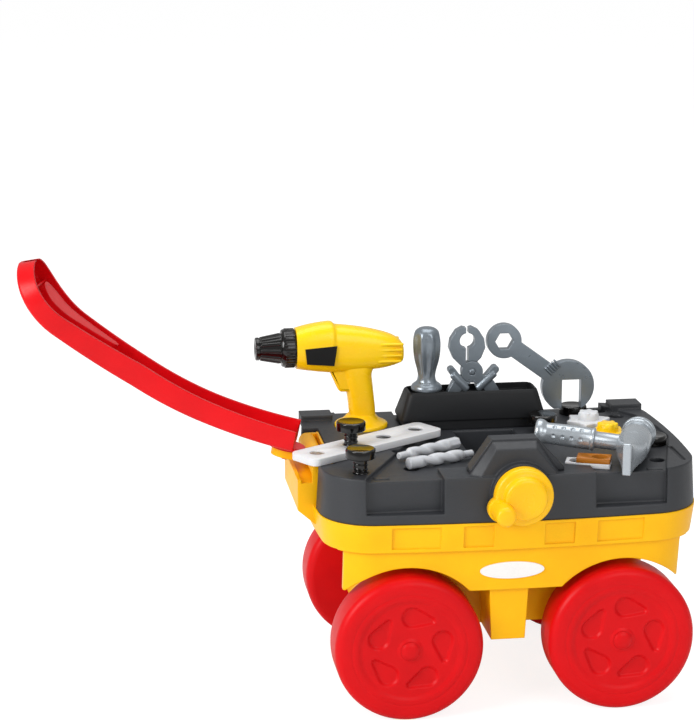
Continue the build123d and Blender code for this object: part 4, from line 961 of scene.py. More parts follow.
# ------------------------------------------------------------------ tub, badge and hitch
class Tub:
    """The yellow tub with its badge and hitch."""

    def build(self) -> None:
        """Makes the tub, the plain oval badge and the hitch drum."""
        fit("tub_shell", from_cad("tub"), Paint.YELLOW, 24, "chassis", "tub")
        fit("badge_film", from_cad("oval_badge"), Paint.BADGE, 30, "chassis", "oval_badge")
        fit("hitch_roller", from_cad("hitch_drum"), Paint.YELLOW, 30, "hitch", "hitch_drum")


# ------------------------------------------------------------------ pull handle
@dataclass(frozen=True)
class HandleSize:
    """Sizes of the channel-shaped pull handle in millimetres.

    Args:
        root: Start of the web, along the bench and up.
        length: Length along the web.
        slopes: Slope at even steps along the web, in degrees.
        halves: Half width at the same steps.
        depths: Depth of the side walls at the same steps.
        tip: Length over which the end rounds off.
        last: Where the rounded end stops.
        wall: Thickness of web and walls.
        pin_x: Place of the swing pin.
        swing: Turn about the pin at rest, in degrees.
        slot_mid: Middle of the grip slot along the web.
        slot_reach: Distance between the slot's two round ends.
        slot_wide: Radius of its wide end.
        slot_tip: Radius of its narrow end.
        rim: Width of the collar round the slot.
        lip: How far the collar reaches below the web.
        ribs: Places of the cross ribs along the web.
        rib_thick: Thickness of a cross rib.
        rib_high: Height of a cross rib over the web.
    """

    root: tuple[float, float] = (-165.0, 202.0)
    length: float = 282.0
    slopes: tuple[float, ...] = (12.0, 20.5, 32.5, 37.5, 81.0)
    halves: tuple[float, ...] = (24.8, 19.3, 17.0, 28.0, 50.0)
    depths: tuple[float, ...] = (16.6, 18.2, 19.9, 17.2, 14.5)
    tip: float = 63.0
    last: float = 281.35
    wall: float = 3.0
    pin_x: float = -171.0
    swing: float = 12.0
    slot_mid: float = 205.0
    slot_reach: float = 58.0
    slot_wide: float = 12.5
    slot_tip: float = 3.0
    rim: float = 2.2
    lip: float = 2.0
    ribs: tuple[float, ...] = (60.0, 95.0, 130.0, 258.0)
    rib_thick: float = 1.6
    rib_high: float = 6.0


def spread(values: Sequence[float], t: float) -> float:
    """Straight-line blend through evenly spaced values."""
    spot = min(max(t, 0.0), 1.0) * (len(values) - 1)
    k = min(int(spot), len(values) - 2)
    return values[k] + (values[k + 1] - values[k]) * (spot - k)


class Handle:
    """The long curved handle with a collar round its grip slot.

    Known faults: the slot comes out filled, and the mesh isn't cleanly closed.
    """

    ROOT = ((0, 0), (15, 0), (15, -3), (2.5, -3), (2.5, -12.8), (0, -12.8))

    def __init__(self, size: HandleSize = HandleSize()) -> None:
        self.size = size
        slope = math.radians(size.slopes[0])
        axis = Vector((math.sin(slope), 0, math.cos(slope)))
        top = size.root[1] + (size.root[0] - size.pin_x) * math.tan(slope)
        level = Vector((math.cos(slope), 0, -math.sin(slope)))
        self.pin = Seat(at(size.pin_x, 0, top), level, NORTH)
        turn = Matrix.Rotation(math.radians(-size.swing), 4, axis)
        self.swung = Matrix.Translation(self.pin.origin) @ turn @ Matrix.Translation(-self.pin.origin)

    def slope(self, s: float) -> float:
        """Slope of the web in radians at a distance along it."""
        return math.radians(spread(self.size.slopes, s / self.size.length))

    def seat(self, s: float) -> Seat:
        """Cross-section seat at a distance along the web; local Y points off the web."""
        reach, rise = 0.0, 0.0
        for k in range(40):
            a = self.slope((k + 0.5) * s / 40)
            reach += s / 40 * math.cos(a)
            rise += s / 40 * math.sin(a)
        a = self.slope(s)
        return Seat(at(self.size.root[0] - reach, 0, self.size.root[1] + rise), NORTH,
                    Vector((math.sin(a), 0, math.cos(a))))

    def half(self, s: float) -> float:
        """Half width at a distance along the web."""
        size = self.size
        tail = max(0.0, (s - size.length) / size.tip + 1)
        return spread(size.halves, s / size.length) * math.sqrt(max(1 - tail ** 2, 0.0))

    def body(self, inset: float, low: float, rise: float, soft: float, least: float) -> bpy.types.Mesh:
        """A loft along the web.

        Args:
            inset: How far its sides are set in.
            low: Height of its underside over the web's underside.
            rise: How far it reaches above the side walls.
            soft: Rounding of its lower long edges.
            least: Stops where it would be narrower than this.
        """
        size = self.size
        start = size.length - size.tip
        stations = [start * k / 26 for k in range(27)]
        stations += [start + size.tip * math.sin(math.radians(a)) for a in range(6, 81, 5)] + [size.last]
        rings = []
        for s in stations:
            half = self.half(s) - inset
            if half < least:
                break
            high = spread(size.depths, s / size.length) + rise
            seat = self.seat(s)
            r = min(soft, half * 0.6)
            outline = [(half, high)]
            for side, turn in ((1, 0), (-1, -90)):
                for k in range(6):
                    a = math.radians(turn - 18 * k)
                    outline.append((side * (half - r) + r * math.cos(a), low + r + r * math.sin(a)))
            outline.append((-half, high))
            rings.append([seat.spot(x, y, 0) for x, y in outline])
        return loft(rings)

    def prism(self, grow: float) -> bpy.types.Mesh:
        """A drop-shaped prism through the slot, grown by an amount."""
        size = self.size
        a = self.slope(size.slot_mid)
        outward = Vector((-math.cos(a), 0, math.sin(a)))
        seat = Seat(self.seat(size.slot_mid).origin, outward, NORTH)
        wide, tip = size.slot_wide + grow, size.slot_tip + grow
        lean = math.acos((wide - tip) / size.slot_reach)
        outline = []
        for k in range(25):
            b = lean + (2 * math.pi - 2 * lean) * k / 24
            outline.append((size.slot_reach / 2 - wide * math.cos(b), wide * math.sin(b)))
        for k in range(13):
            b = -lean + 2 * lean * k / 12
            outline.append((-size.slot_reach / 2 - tip * math.cos(b), tip * math.sin(b)))
        return loft([[seat.spot(x, y, z) for x, y in outline] for z in (-60.0, 60.0)])

    def ribs(self) -> list[bpy.types.Mesh]:
        """Thin cross ribs standing on the web inside the channel."""
        size = self.size
        made = []
        for s in size.ribs:
            half = self.half(s) - size.wall + 0.4
            rings = []
            for t in (-size.rib_thick / 2, size.rib_thick / 2):
                seat = self.seat(s + t)
                high = size.wall + size.rib_high
                rings.append([seat.spot(x, y, 0) for x, y in (
                    (half, high), (half, size.wall - 1), (-half, size.wall - 1), (-half, high))])
            made.append(loft(rings))
        return made

    def build(self) -> None:
        """Makes the handle with its ribs, collar, root disc and pin; the last cut fails to open the slot."""
        size = self.size
        shell = trim(self.body(0, 0, 0, 3.0, 2.0), self.body(size.wall, size.wall, 2.0, 1.5, 4.0))
        for rib in self.ribs():
            shell = trim(shell, rib, "UNION")
        collar = trim(self.body(size.rim, -size.lip, 0, 1.6, 4.0), self.prism(size.rim), "INTERSECT")
        shell = trim(shell, collar, "UNION")
        shell = trim(shell, self.prism(0.0))
        root = lathe(self.ROOT, self.pin, 48)
        shell = trim(shell, root, "UNION")
        shell.transform(self.swung)
        fit("handle_channel", shell, Paint.HANDLE_RED, 32, "handle", "handle")


# ------------------------------------------------------------------ lid, rack and vice
class Lid:
    """The grey work top and the dark tool rack pegged into it."""

    RACK_X = -6.0
    ENVELOPE = (    # height, half length, near side, far side, corner radius
        (180.0, 61.5, 44.5, 82.5, 5.0), (205.3, 61.5, 44.5, 82.5, 5.0), (205.45, 62.6, 43.9, 83.6, 6.5),
        (207.0, 62.9, 43.6, 84.0, 7.5), (226.5, 57.1, 46.4, 77.2, 8.0), (228.6, 56.3, 47.1, 76.3, 8.0),
        (229.7, 54.9, 48.3, 74.9, 7.0),
    )

    def build(self) -> None:
        """Makes the lid and the rack."""
        fit("lid_shell", from_cad("lid"), Paint.GREY, 26, "lid", "lid")
        rack = trim(from_cad("tool_rack"), self._envelope(), "INTERSECT")
        fit("rack_shell", rack, Paint.RACK, 30, "lid", "tool_rack")

    def _envelope(self) -> bpy.types.Mesh:
        """Rounded block round the rack, which softens its corners and upper rim."""
        rings = []
        for z, half, y0, y1, r in self.ENVELOPE:
            ring = corners([(self.RACK_X - half, y0), (self.RACK_X + half, y0), (self.RACK_X + half, y1),
                            (self.RACK_X - half, y1)], r, 8)
            rings.append([at(x, y, z) for x, y in ring])
        return loft(rings)


class Vice:
    """The play vice: jaw, threaded screw, retainer and round crank."""

    AXIS_X, AXIS_Z = 1.0, 187.0
    SCREW_Y0, SCREW_Y1 = -123.0, -55.0
    CORE_R, THREAD_R, PITCH = 4.0, 0.95, 8.0
    CRANK_Y = -115.0

    def build(self) -> None:
        """Makes every piece of the vice."""
        fit("jaw_plate", from_cad("vice_jaw"), Paint.GREY, 26, "jaw", "vice_jaw")
        fit("retainer_ring", from_cad("vice_retainer"), Paint.RACK, 35, "crank", "vice_retainer")
        length = self.SCREW_Y1 - self.SCREW_Y0
        seat = pointing(at(self.AXIS_X, self.SCREW_Y0, self.AXIS_Z), NORTH)
        core = lathe(((0, 0), (5, 0), (5, 24), (4, 25), (4, length - 1), (3, length), (0, length)), seat, 32)
        start = pointing(at(self.AXIS_X, self.SCREW_Y0 + 26, self.AXIS_Z), NORTH)
        run = length - 30
        thread = REPEAT.make(
            REPEAT.coil, start, Paint.RACK, Turns=run / self.PITCH, Radius=self.CORE_R * MM,
            Length=run * MM, Thread=self.THREAD_R * MM,
        )
        fit("screw_threaded", join([core, thread]), Paint.RACK, 35, "crank", "vice_screw")
        self._crank()

    def _crank(self) -> None:
        """The round crank with its raised button, side lobe and stub peg."""
        seat = facing(self.AXIS_X, self.CRANK_Y, self.AXIS_Z)
        disc = [(0, 0.0), (5.06, 0.0), (22.9, 0.0), (23.5, 0.6), (23.5, 6.2), (23.1, 7.6), (22.1, 8.6),
                (20.8, 9.0), (18.4, 9.1), (17.9, 9.5), (17.4, 10.6), (17.1, 13.4), (16.5, 14.8), (15.4, 15.6),
                (13.8, 15.95), (6, 16.0), (0, 16.0)]
        body = lathe(disc, seat, 96)
        lobe = Seat(seat.spot(-18.4, -9.4, 0), seat.across, seat.along)
        cup = lathe([(0, 0.4), (9.9, 0.4), (10.3, 0.9), (10.3, 6.4), (10.1, 7.6), (9.6, 8.5), (9.0, 8.95),
                     (0, 8.95)], lobe, 56)
        peg = lathe([(0, 6), (9.6, 6), (9.5, 8.6), (9.0, 11.0), (8.7, 14.0), (8.2, 22.0), (8.0, 25.6),
                     (7.5, 27.6), (6.4, 28.6), (4.8, 29.0), (0, 29.0)], lobe, 56)
        whole = trim(trim(body, cup, "UNION"), peg, "UNION")
        bore = lathe([(0, -1), (5.06, -1), (5.06, 8.1), (0, 8.1)], seat, 40)
        fit("crank_round", trim(whole, bore), Paint.CRANK, 40, "crank", "vice_crank")


# ------------------------------------------------------------------ play drill
def oval_ring(seat: Seat, half_w: float, low: float, high: float, power: float,
              steps: int = 40) -> list[Vector]:
    """A soft-cornered ring in a seat's plane.

    Args:
        seat: Plane of the ring.
        half_w: Half width along local X.
        low: Lowest local Y.
        high: Highest local Y.
        power: 2 gives an ellipse; more gives squarer corners.
        steps: Points round the ring.
    """
    mid, half_h = (low + high) / 2, (high - low) / 2
    ring = []
    for k in range(steps):
        a = 2 * math.pi * k / steps
        c, s = math.cos(a), math.sin(a)
        ring.append(seat.spot(math.copysign(abs(c) ** (2 / power), c) * half_w,
                              mid + math.copysign(abs(s) ** (2 / power), s) * half_h, 0))
    return ring


class PlayDrill:
    """The toy drill: body with foot, label, ribbed chuck and spindle."""

    Y = 59.0
    AXIS_Z = 270.0
    BODY = (    # place, lowest, highest, half width
        (-157.0, 252.6, 286.6, 15.6), (-150.0, 251.3, 288.6, 15.9), (-140.0, 249.8, 290.6, 16.0),
        (-131.0, 248.7, 291.7, 16.0), (-127.4, 248.4, 291.8, 16.0), (-125.6, 248.4, 291.0, 15.7),
        (-124.0, 248.5, 289.6, 15.0), (-122.0, 248.5, 289.0, 14.9), (-112.0, 248.9, 287.9, 14.9),
        (-98.0, 249.6, 285.6, 14.6), (-86.0, 250.6, 282.7, 14.0), (-78.0, 252.0, 280.2, 12.9),
        (-72.0, 253.6, 277.4, 11.6), (-68.0, 255.2, 274.2, 10.2), (-66.2, 256.4, 271.8, 8.8),
        (-65.5, 258.6, 269.6, 6.8),
    )
    GRIP = (    # height, front, back, half width
        (262.0, -119.5, -88.0, 10.0), (252.0, -118.8, -90.6, 10.9), (246.0, -117.4, -92.3, 10.9),
        (238.0, -115.2, -91.6, 10.7), (226.0, -112.9, -90.3, 10.4), (216.0, -111.7, -89.3, 10.1),
        (207.0, -111.0, -88.9, 10.2), (203.4, -114.5, -87.0, 13.5), (202.2, -118.0, -84.0, 17.5),
    )

    def _section(self, x: float) -> Seat:
        """Seat across the body with local X across the bench and local Y up."""
        return Seat(at(x, self.Y, 0), NORTH, UP)

    def _body(self) -> bpy.types.Mesh:
        """Body, grip and trigger guard. Known fault: closed bodies touch along edges at the trigger."""
        rows = smooth_line(self.BODY, 2)
        body = loft([oval_ring(self._section(x), half, low, high, 2.7) for x, low, high, half in rows])
        rings = []
        for z, front, back, half in smooth_line(self.GRIP, 4):
            seat = Seat(at(0, self.Y, z), NORTH, EAST)
            rings.append(oval_ring(seat, half, front, back, 3.0))
        grip = loft(rings)
        trigger = slab([corners([(-129.5, 252.0), (-121.8, 234.2), (-119.6, 232.0), (-110.0, 231.6),
                                 (-106.0, 252.0)], 1.6)], facing(0, self.Y, 0), 16.0, 2.4, 3)
        whole = trim(trim(body, grip, "UNION"), trigger, "UNION")
        seat = upright(-101.0, self.Y, 0)
        foot = lathe([(0, 198.7), (22.1, 198.7), (22.5, 199.1), (22.5, 202.4), (22.0, 203.2), (20.5, 203.7),
                      (15.5, 206.6), (12.0, 210.6), (9.0, 211.5), (0, 211.5)], seat, 72)
        whole = trim(whole, foot, "UNION")
        bore = lathe([(0, 0), (4.06, 0), (4.06, 32), (0, 32)],
                     pointing(at(-171.0, self.Y, self.AXIS_Z), EAST), 32)
        return trim(whole, bore)

    def _vents(self) -> bpy.types.Mesh:
        """Four long ridges on each side of the tail."""
        groups = []
        for side in (-1, 1):
            seat = Seat(at(-78.5, self.Y + side * 12.5, 258.6), EAST, UP)
            ridge = pill(20.0, 2.6, 1.5)
            groups.append(REPEAT.make(REPEAT.row, seat, Paint.DRILL, ridge, Count=4,
                                      Offset=(0.0006, 0.0048, 0.0)))
        return join(groups)

    def _chuck(self) -> bpy.types.Mesh:
        """The ribbed chuck: flutes on the cone and fine ribs on the ring."""
        seat = pointing(at(-191.0, self.Y, self.AXIS_Z), EAST)
        core = lathe([(4, 14), (4, 0.6), (5.2, 0), (9.0, 0), (9.7, 0.7), (9.7, 3.0), (9.2, 3.4), (12.7, 21.6),
                      (15.2, 22.0), (16.0, 23.4), (16.2, 25.2), (16.2, 31.4), (15.4, 33.6), (4.03, 33.6),
                      (4.03, 21), (0, 21), (0, 14), (4, 14)], seat, 72)
        tilt = math.atan2(3.5, 18.2)
        run = Seat(Vector((10.9, 0, 12.4)) * MM, Vector((math.sin(tilt), 0, math.cos(tilt))), NORTH)
        flute = pill(17.6, 3.0, 0.95, run)
        tick = pill(8.2, 1.1, 0.6, Seat(Vector((16.15, 0, 28.6)) * MM, UP, NORTH))
        return join([
            core,
            REPEAT.make(REPEAT.ring, seat, Paint.BLACK, flute, Count=12, Step=math.radians(30)),
            REPEAT.make(REPEAT.ring, seat, Paint.BLACK, tick, Count=36, Step=math.radians(10)),
        ])

    def build(self) -> None:
        """Makes every piece of the drill."""
        body = join([self._body(), self._vents()])
        fit("drill_shell", body, Paint.DRILL, 42, "drill", "drill_body")
        plate = from_cad("drill_label")
        fit("label_film", plate, Paint.LABEL, 35, "drill", "drill_label")
        fit("chuck_ribbed", self._chuck(), Paint.BLACK, 40, "chuck", "drill_chuck")
        fit("spindle_rod", from_cad("drill_spindle"), Paint.STEEL, 35, "chuck", "drill_spindle")


# ------------------------------------------------------------------ rack tools
class RackTools:
    """Screwdriver, pliers and wrench."""

    RACK_Y = 61.0
    DRIVER_X = -44.4
    DRIVER = ((13.0, 229.7), (13.2, 231.4), (12.6, 233.4), (11.0, 234.9), (9.0, 236.4), (7.9, 239.0),
              (7.9, 243.0),
              (9.2, 249.0), (10.9, 255.0), (12.0, 261.0), (12.4, 267.0), (12.3, 272.5), (11.4, 277.4),
              (9.6, 280.8), (6.8, 283.0), (3.4, 283.9), (0.0, 284.0))
    FLUTES = 8
    PIVOT_X, PIVOT_Z, PIVOT_IN = -5.5, 244.2, 4.0
    ROD_LOW, ROD_HIGH = (5.8, -14.4), (18.8, -2.6)      # from the pivot: aside, up
    KNURL, KNURL_TURN = (64.2, 70.1, 239.3), 0.75

    def _driver(self) -> None:
        """The fluted screwdriver, whose handle follows a rule round its axis."""
        seat = upright(self.DRIVER_X, self.RACK_Y, 0)
        rows = [(0.0, 200.0), (2.6, 200.0), (3.5, 202.0), (3.5, 229.6)]
        rows += smooth_line(self.DRIVER, 4)
        rings = []
        for r, z in rows:
            deep = 1.5 * ease(z, 238, 250) * (1 - ease(z, 275, 281))
            ring = []
            for k in range(128):
                a = 2 * math.pi * k / 128
                wave = abs(math.cos(self.FLUTES * a / 2 + 0.6)) ** 1.6
                radius = max(r - deep * wave, 0.02)
                ring.append(seat.spot(radius * math.cos(a), radius * math.sin(a), z))
            rings.append(ring)
        fit("driver_fluted", loft(rings), Paint.TOOL, 50, "screwdriver", "screwdriver")

    def _pliers(self) -> None:
        """Both halves and the pin, with beaded guards."""
        for side, scale, node, body in ((-1, 1.0, "pliers_half_front", "pliers"),
                                        (1, 0.87, "pliers_half_back", "pliers_arm")):
            half = from_cad(node)
            a, b = (at(self.PIVOT_X - aside * side * scale, self.RACK_Y - self.PIVOT_IN, self.PIVOT_Z + rise)
                    for aside, rise in (self.ROD_LOW, self.ROD_HIGH))
            mid = Seat((a + b) / 2, (b - a).normalized(), NORTH)
            rods = [pill((b - a).length / MM + 4.0, 3.4, 2.9, mid, 8)]
            fit(node + "_cast", join([half, *rods]), Paint.TOOL, 35, body, node)
        seat = facing(self.PIVOT_X, self.RACK_Y - self.PIVOT_IN, self.PIVOT_Z)
        pin = lathe([(0, -8.4), (2.95, -8.4), (2.95, -0.2), (2.2, -0.1), (2.2, 0.1), (1.8, 0.45),
                     (0, 0.5)], seat, 40)
        fit("pliers_rivet", pin, Paint.TOOL, 35, "pliers", "pliers_pin")

    def _wrench(self) -> None:
        """The wrench with its moulded thumb wheel."""
        body = from_cad("wrench")
        c, d = math.cos(self.KNURL_TURN), math.sin(self.KNURL_TURN)
        seat = Seat(at(*self.KNURL), Vector((c, 0, d)), Vector((-d, 0, c)))
        ridge = pill(9.0, 1.9, 1.4, Seat(Vector((0, 0, 0)), NORTH, Vector((-1, 0, 0))))
        knurl = REPEAT.make(REPEAT.row, seat, Paint.TOOL, ridge, Count=5, Offset=(0.0025, 0.0, 0.0))
        fit("wrench_cast", join([body, knurl]), Paint.TOOL, 30, "wrench", "wrench")

    def build(self) -> None:
        """Makes the three tools."""
        self._driver()
        self._pliers()
        self._wrench()


# ------------------------------------------------------------------ hammer
class Hammer:
    """The toy hammer lying across the work top."""

    FACE = (116.0, -36.0, 211.5)
    HEADING = 247.7
    SHANK_HEADING, SHANK_RISE, SHANK_S = 157.9, 4.1, 37.9

    def __init__(self) -> None:
        a = math.radians(self.HEADING)
        self.axis = Vector((math.cos(a), math.sin(a), 0))
        self.across = Vector((math.sin(a), -math.cos(a), 0))
        self.start = at(*self.FACE)
        b, rise = math.radians(self.SHANK_HEADING), math.radians(self.SHANK_RISE)
        self.run = Vector((math.cos(b) * math.cos(rise), math.sin(b) * math.cos(rise), math.sin(rise)))

    def _head(self) -> bpy.types.Mesh:
        """Face disc, neck, domed hub and flared blade. Known fault: not cleanly closed near its middle."""
        seat = pointing(self.start, self.axis)
        turned = lathe([(0, 0), (11.6, 0), (12.2, 0.25), (13.2, 0.5), (14.0, 1.4), (14.2, 2.6), (14.2, 5.2),
                        (13.6, 6.0), (12.9, 6.2), (13.4, 6.8), (13.2, 7.8), (12.3, 8.8), (11.5, 9.4),
                        (11.4, 13), (11.8, 17), (12.8, 20.5), (13.5, 24), (13.5, 46), (12.6, 48.8),
                        (10, 50.6), (0, 51)], seat, 64)
        blade = []
        for s, half_t, half_h, power in (
            (44.0, 12.6, 12.9, 2.2), (50.0, 12.4, 13.0, 2.4), (56.0, 11.2, 12.6, 2.6), (62.0, 9.2, 12.0, 3.0),
            (68.0, 7.0, 11.7, 4.0), (73.0, 5.2, 12.0, 6.0), (77.0, 4.1, 12.6, 8.0), (80.0, 3.55, 12.9, 10.0),
            (83.4, 3.45, 13.0, 12.0), (84.2, 2.8, 12.4, 12.0),
        ):
            place = Seat(self.start + self.axis * s * MM, self.across, UP)
            blade.append(oval_ring(place, half_t, -half_h, half_h, power, 48))
        whole = trim(turned, loft(blade), "UNION")
        bore = lathe([(0, 2.8), (6.85, 2.8), (6.85, 40), (0, 40)],
                     pointing(self.start + self.axis * self.SHANK_S * MM, self.run), 40)
        return trim(whole, bore)

    def _handle(self) -> bpy.types.Mesh:
        """Smooth shank, ringed grip with two rows of dimples, and flared butt."""
        seat = pointing(self.start + self.axis * self.SHANK_S * MM, self.run)
        grip = lathe([(0, 3.1), (6.7, 3.1), (6.75, 30.6), (7.2, 31.2), (9.0, 31.6), (9.5, 32.4), (9.5, 33.6),
                      (8.9, 34.4), (8.7, 34.9), (8.9, 35.3), (9.1, 50), (8.7, 66), (8.5, 70), (8.9, 71.6),
                      (10.2, 73.4), (10.9, 75.2), (11.0, 77.2), (10.6, 78.8), (9.6, 79.8), (8.0, 80.0),
                      (0, 80)], seat, 64)
        pits = []
        for turn in (math.radians(55), math.radians(5)):
            spot = Vector((9.4 * math.cos(turn), 9.4 * math.sin(turn), 42.0)) * MM
            place = Seat(seat.matrix() @ spot, seat.across, seat.along)
            ball = lathe([(0, -1.9), (1.0, -1.7), (1.7, -0.9), (1.9, 0), (1.7, 0.9), (1.0, 1.7), (0, 1.9)],
                         HERE, 14)
            pits.append(REPEAT.make(REPEAT.row, place, Paint.HAMMER, ball, Count=4,
                                    Offset=(0.0, 0.0, 0.0074)))
        return trim(grip, join(pits))

    def build(self) -> None:
        """Makes both pieces of the hammer."""
        fit("hammer_head_cast", self._head(), Paint.HAMMER, 42, "hammer", "hammer_head")
        fit("hammer_grip", self._handle(), Paint.HAMMER, 42, "hammer", "hammer_handle")


# ------------------------------------------------------------------ loose hardware
class Hardware:
    """Bolts, plates, nuts and play bits."""

    BOLTS = ((-121.3, -20.8, 218.6), (-122.5, -82.0, 213.0), (50.0, 29.0, 205.2), (90.0, 84.0, 197.3),
             (131.5, -21.0, 197.3))
    BITS = (("drill_bit_hex", "bit_hex", (-86.0, -45.0), (-31.0, -11.0), 202.0),
            ("drill_bit_twist", "bit_twist", (-25.0, -44.0), (-82.0, -67.0), 202.0))
    PLATE, PLATE_TURN, PITCH = (-121.3, -20.8, 200.6), 33.4, 36.0
    NUTS = (("star_nut_white", 94.0, 45.0, 20.5, 10.0, Paint.PALE),
            ("star_nut_yellow", 101.0, 7.0, 18.5, 40.0, Paint.DRILL))

    def _bolt(self, number: int, x: float, y: float, z: float) -> None:
        """A round-headed bolt with a coarse thread."""
        seat = upright(x, y, z)
        solid = lathe([(0, -22), (4.6, -22), (5.3, -21.2), (5.3, -1.2), (6.0, -0.6), (6.0, 0), (11.3, 0),
                       (12, 0.7),
                       (12, 6.4), (11.7, 7.2), (11.0, 7.75), (10.2, 7.9), (9.6, 7.7), (0, 7.55)], seat, 56)
        low = upright(x, y, z - 20.6)
        thread = REPEAT.make(REPEAT.coil, low, Paint.BLACK, Turns=5.0, Radius=0.0053, Length=0.0185,
                             Thread=0.0006)
        fit(f"bolt_{number}_round", join([solid, thread]), Paint.BLACK, 30, f"bolt_{number}",
            f"bolt_{number}")

    def _bit(self, node: str, body: str, start: tuple, stop: tuple, z: float) -> None:
        """A twisted play bit lying on the work floor."""
        a, b = at(*start, z), at(*stop, z)
        seat = pointing(a, b - a)
        length = (b - a).length / MM
        rings = []
        stations = [0.0, 0.2, 0.8] + [length * k / 60 for k in range(1, 59)]
        stations += [length - 0.8, length - 0.2, length]
        for s in stations:
            t = s / length
            if t < 0.14:
                r, flute = 2.9, 0.0
            elif t < 0.82:
                r = 2.9 + 2.0 * ease(t, 0.14, 0.2)
                flute = 1.7 * ease(t, 0.16, 0.22) * (1 - ease(t, 0.77, 0.81))
            else:
                r, flute = 4.8, 0.0
            r *= min(1.0, 0.8 + min(s, length - s) * 0.25)
            ring = []
            for k in range(48):
                ang = 2 * math.pi * k / 48
                wave = (0.5 + 0.5 * math.cos(2 * (ang - t * 2 * math.pi * 1.9))) ** 1.5
                if t >= 0.82 and node == "drill_bit_hex":
                    flat = (ang % (math.pi / 3)) - math.pi / 6
                    rad = 4.5 / math.cos(flat) * min(1.0, 0.8 + (length - s) * 0.25)
                    rad = min(rad, 4.95)
                else:
                    rad = r - flute * wave
                ring.append(seat.spot(rad * math.cos(ang), rad * math.sin(ang), s))
            rings.append(ring)
        fit(node + "_twisted", loft(rings), Paint.BIT, 50, body, node)

    def _nut(self, node: str, x: float, y: float, radius: float, turn: float, paint: Paint) -> None:
        """A star-flanged cap nut."""
        seat = upright(x, y, 197.3, turn)
        star = [(radius * (0.72 if k % 2 else 1.0) * math.cos(math.pi / 6 * k),
                 radius * (0.72 if k % 2 else 1.0) * math.sin(math.pi / 6 * k)) for k in range(12)]
        middle = Seat(seat.spot(0, 0, 2.5), seat.across, seat.along)
        flange = slab([corners(star, 1.5, 4)], middle, 5.0, 0.9, 2)
        dome = lathe([(0, 3), (9.0, 3), (9.0, 8.0), (8.4, 10.0), (6.9, 11.4), (4.2, 12.0), (0, 12.0)],
                     seat, 48)
        whole = trim(flange, dome, "UNION")
        bore = lathe([(0, -1), (6.3, -1), (6.3, 7.9), (0, 7.9)], seat, 36)
        knob = lathe([(0, 0), (2.3, 0), (2.3, 2.0), (1.9, 2.7), (1.0, 3.0), (0, 3.0)],
                     Seat(Vector((6.4, 0, 8.9)) * MM, EAST, NORTH), 16)
        crown = REPEAT.make(REPEAT.ring, seat, paint, knob, Count=6, Step=math.radians(60))
        fit(node + "_star", join([trim(whole, bore), crown]), paint, 42, node, node)

    def _undercuts(self) -> bpy.types.Mesh:
        """Wider hollows under the plate's holes, below its top skin."""
        low = upright(*self.PLATE, self.PLATE_TURN)
        first = Seat(low.spot(-self.PITCH, 0, 0), low.across, low.along)
        hollow = lathe([(0, -1), (9.6, -1), (9.6, 4.4), (0, 4.4)], HERE, 32)
        return REPEAT.make(REPEAT.row, first, Paint.PALE, hollow, Count=4,
                           Offset=(self.PITCH * MM, 0.0, 0.0))

    def build(self) -> None:
        """Makes all the loose hardware."""
        for number, spot in enumerate(self.BOLTS, 1):
            self._bolt(number, *spot)
        for node, body, width, paint in (
            ("perforated_plate", "plate", 0.7, Paint.PALE), ("strip_grey", "strip_grey", 0.4, Paint.PALE),
            # The amber strip's colour holds painted shade: a yellow-orange strip darkened as if under the
            # hammer's shadow.
            ("strip_amber", "strip_amber", 0.4, Paint.AMBER_PAINTED_SHADE),
        ):
            mesh = from_cad(node, width)
            if node == "perforated_plate":
                mesh = trim(mesh, self._undercuts())
            fit(node + "_moulded", mesh, paint, 35, body, node)
        for bit in self.BITS:
            self._bit(*bit)
        for nut in self.NUTS:
            self._nut(*nut)


# ------------------------------------------------------------------ studio
@dataclass(frozen=True)
class Lamp:
    """A square soft lamp.

    Args:
        name: Its name.
        place: Where it stands, in metres.
        aim: Where it looks, in metres.
        size: Side of the square in metres.
        watts: Its power.
    """

    name: str
    place: tuple[float, float, float]
    aim: tuple[float, float, float]
    size: float
    watts: float


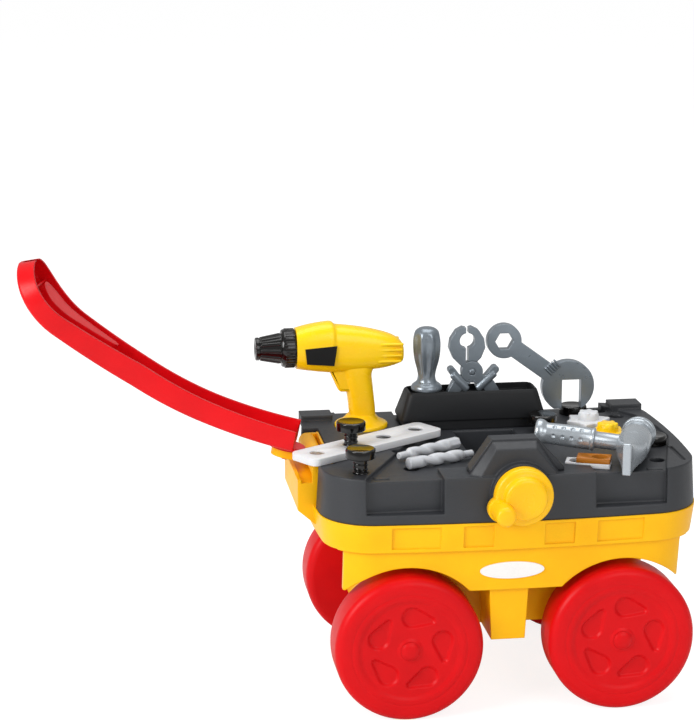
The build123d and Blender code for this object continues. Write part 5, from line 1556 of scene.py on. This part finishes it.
class Studio:
    """Floor, soft lamps, surroundings and camera."""

    LAMPS = (
        Lamp("left", (-2.2, -1.2, 1.5), (0.0, 0.0, 0.15), 1.3, 52.0),
        Lamp("front", (0.9, -2.4, 1.6), (0.05, 0.0, 0.15), 1.6, 22.0),
        Lamp("top", (0.2, 0.4, 2.4), (0.05, 0.0, 0.15), 1.8, 26.0),
    )
    AIR = 0.45
    FLOOR_LIT, FLOOR_SEEN, FLOOR_GLOW = 0.82, 0.34, 0.84
    FLOOR_HALF = 15
    CAMERA = (-0.2518, -1.6939, 0.6894)
    TILT = (76.42, 0.0, -8.15)
    LENS = 108.75

    def _surroundings(self) -> None:
        """Even pale light all round, pure white where the camera sees it."""
        world = bpy.data.worlds.new("pale_room")
        bpy.context.scene.world = world
        world.use_nodes = True
        world.node_tree.nodes.clear()
        add = Graph(world.node_tree).add
        air, seen = (add("ShaderNodeBackground", {"Color": (1, 1, 1, 1), "Strength": strength}).outputs[0]
                     for strength in (self.AIR, 1.0))
        camera = add("ShaderNodeLightPath").outputs["Is Camera Ray"]
        pick = add("ShaderNodeMixShader", {0: camera, 1: air, 2: seen})
        add("ShaderNodeOutputWorld", {"Surface": pick.outputs[0]})

    def _floor(self) -> None:
        """A wide pale floor that keeps the soft shadow."""
        half = self.FLOOR_HALF
        edge = [(-half, -half, 0), (half, -half, 0), (half, half, 0), (-half, half, 0)]
        mesh = plain("floor", edge, [range(4)])
        floor = bpy.data.objects.new("floor", mesh)
        bpy.context.scene.collection.objects.link(floor)
        mat = bpy.data.materials.new("pale_floor")
        mat.use_nodes = True
        mat.node_tree.nodes.clear()
        add = Graph(mat.node_tree).add
        lit, seen = (add("ShaderNodeBsdfDiffuse", {"Color": (shade, shade, shade, 1)}).outputs[0]
                     for shade in (self.FLOOR_LIT, self.FLOOR_SEEN))
        glow = add("ShaderNodeEmission", {"Strength": self.FLOOR_GLOW}).outputs[0]
        both = add("ShaderNodeAddShader", {0: seen, 1: glow}).outputs[0]
        camera = add("ShaderNodeLightPath").outputs["Is Camera Ray"]
        pick = add("ShaderNodeMixShader", {0: camera, 1: lit, 2: both})
        add("ShaderNodeOutputMaterial", {"Surface": pick.outputs[0]})
        mesh.materials.append(mat)

    def _lamp(self, lamp: Lamp) -> None:
        """Adds one lamp."""
        data = bpy.data.lights.new(lamp.name, "AREA")
        data.shape = "SQUARE"
        data.size = lamp.size
        data.energy = lamp.watts
        obj = bpy.data.objects.new(lamp.name, data)
        obj.location = lamp.place
        aim = Vector(lamp.aim) - Vector(lamp.place)
        obj.rotation_euler = aim.to_track_quat("-Z", "Y").to_euler()
        bpy.context.scene.collection.objects.link(obj)

    def _camera(self) -> None:
        """Adds the camera."""
        data = bpy.data.cameras.new("camera")
        data.lens = self.LENS
        data.sensor_width = 36.0
        data.clip_end = 60.0
        camera = bpy.data.objects.new("camera", data)
        camera.location = self.CAMERA
        camera.rotation_euler = [math.radians(a) for a in self.TILT]
        bpy.context.scene.collection.objects.link(camera)
        bpy.context.scene.camera = camera

    def build(self) -> None:
        """Makes the whole studio."""
        self._surroundings()
        self._floor()
        for lamp in self.LAMPS:
            self._lamp(lamp)
        self._camera()
        bpy.context.scene.view_settings.view_transform = "Standard"


def main() -> None:
    """Builds every sub-assembly and the studio."""
    logging.basicConfig(level=logging.INFO, format="%(message)s")
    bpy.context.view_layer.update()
    for part in (RollingGear(), Tub(), Handle(), Lid(), Vice(), PlayDrill(), RackTools(), Hammer(),
                 Hardware(), Studio()):
        part.build()
        log.info("built %s", type(part).__name__)


if __name__ == "__main__":
    main()
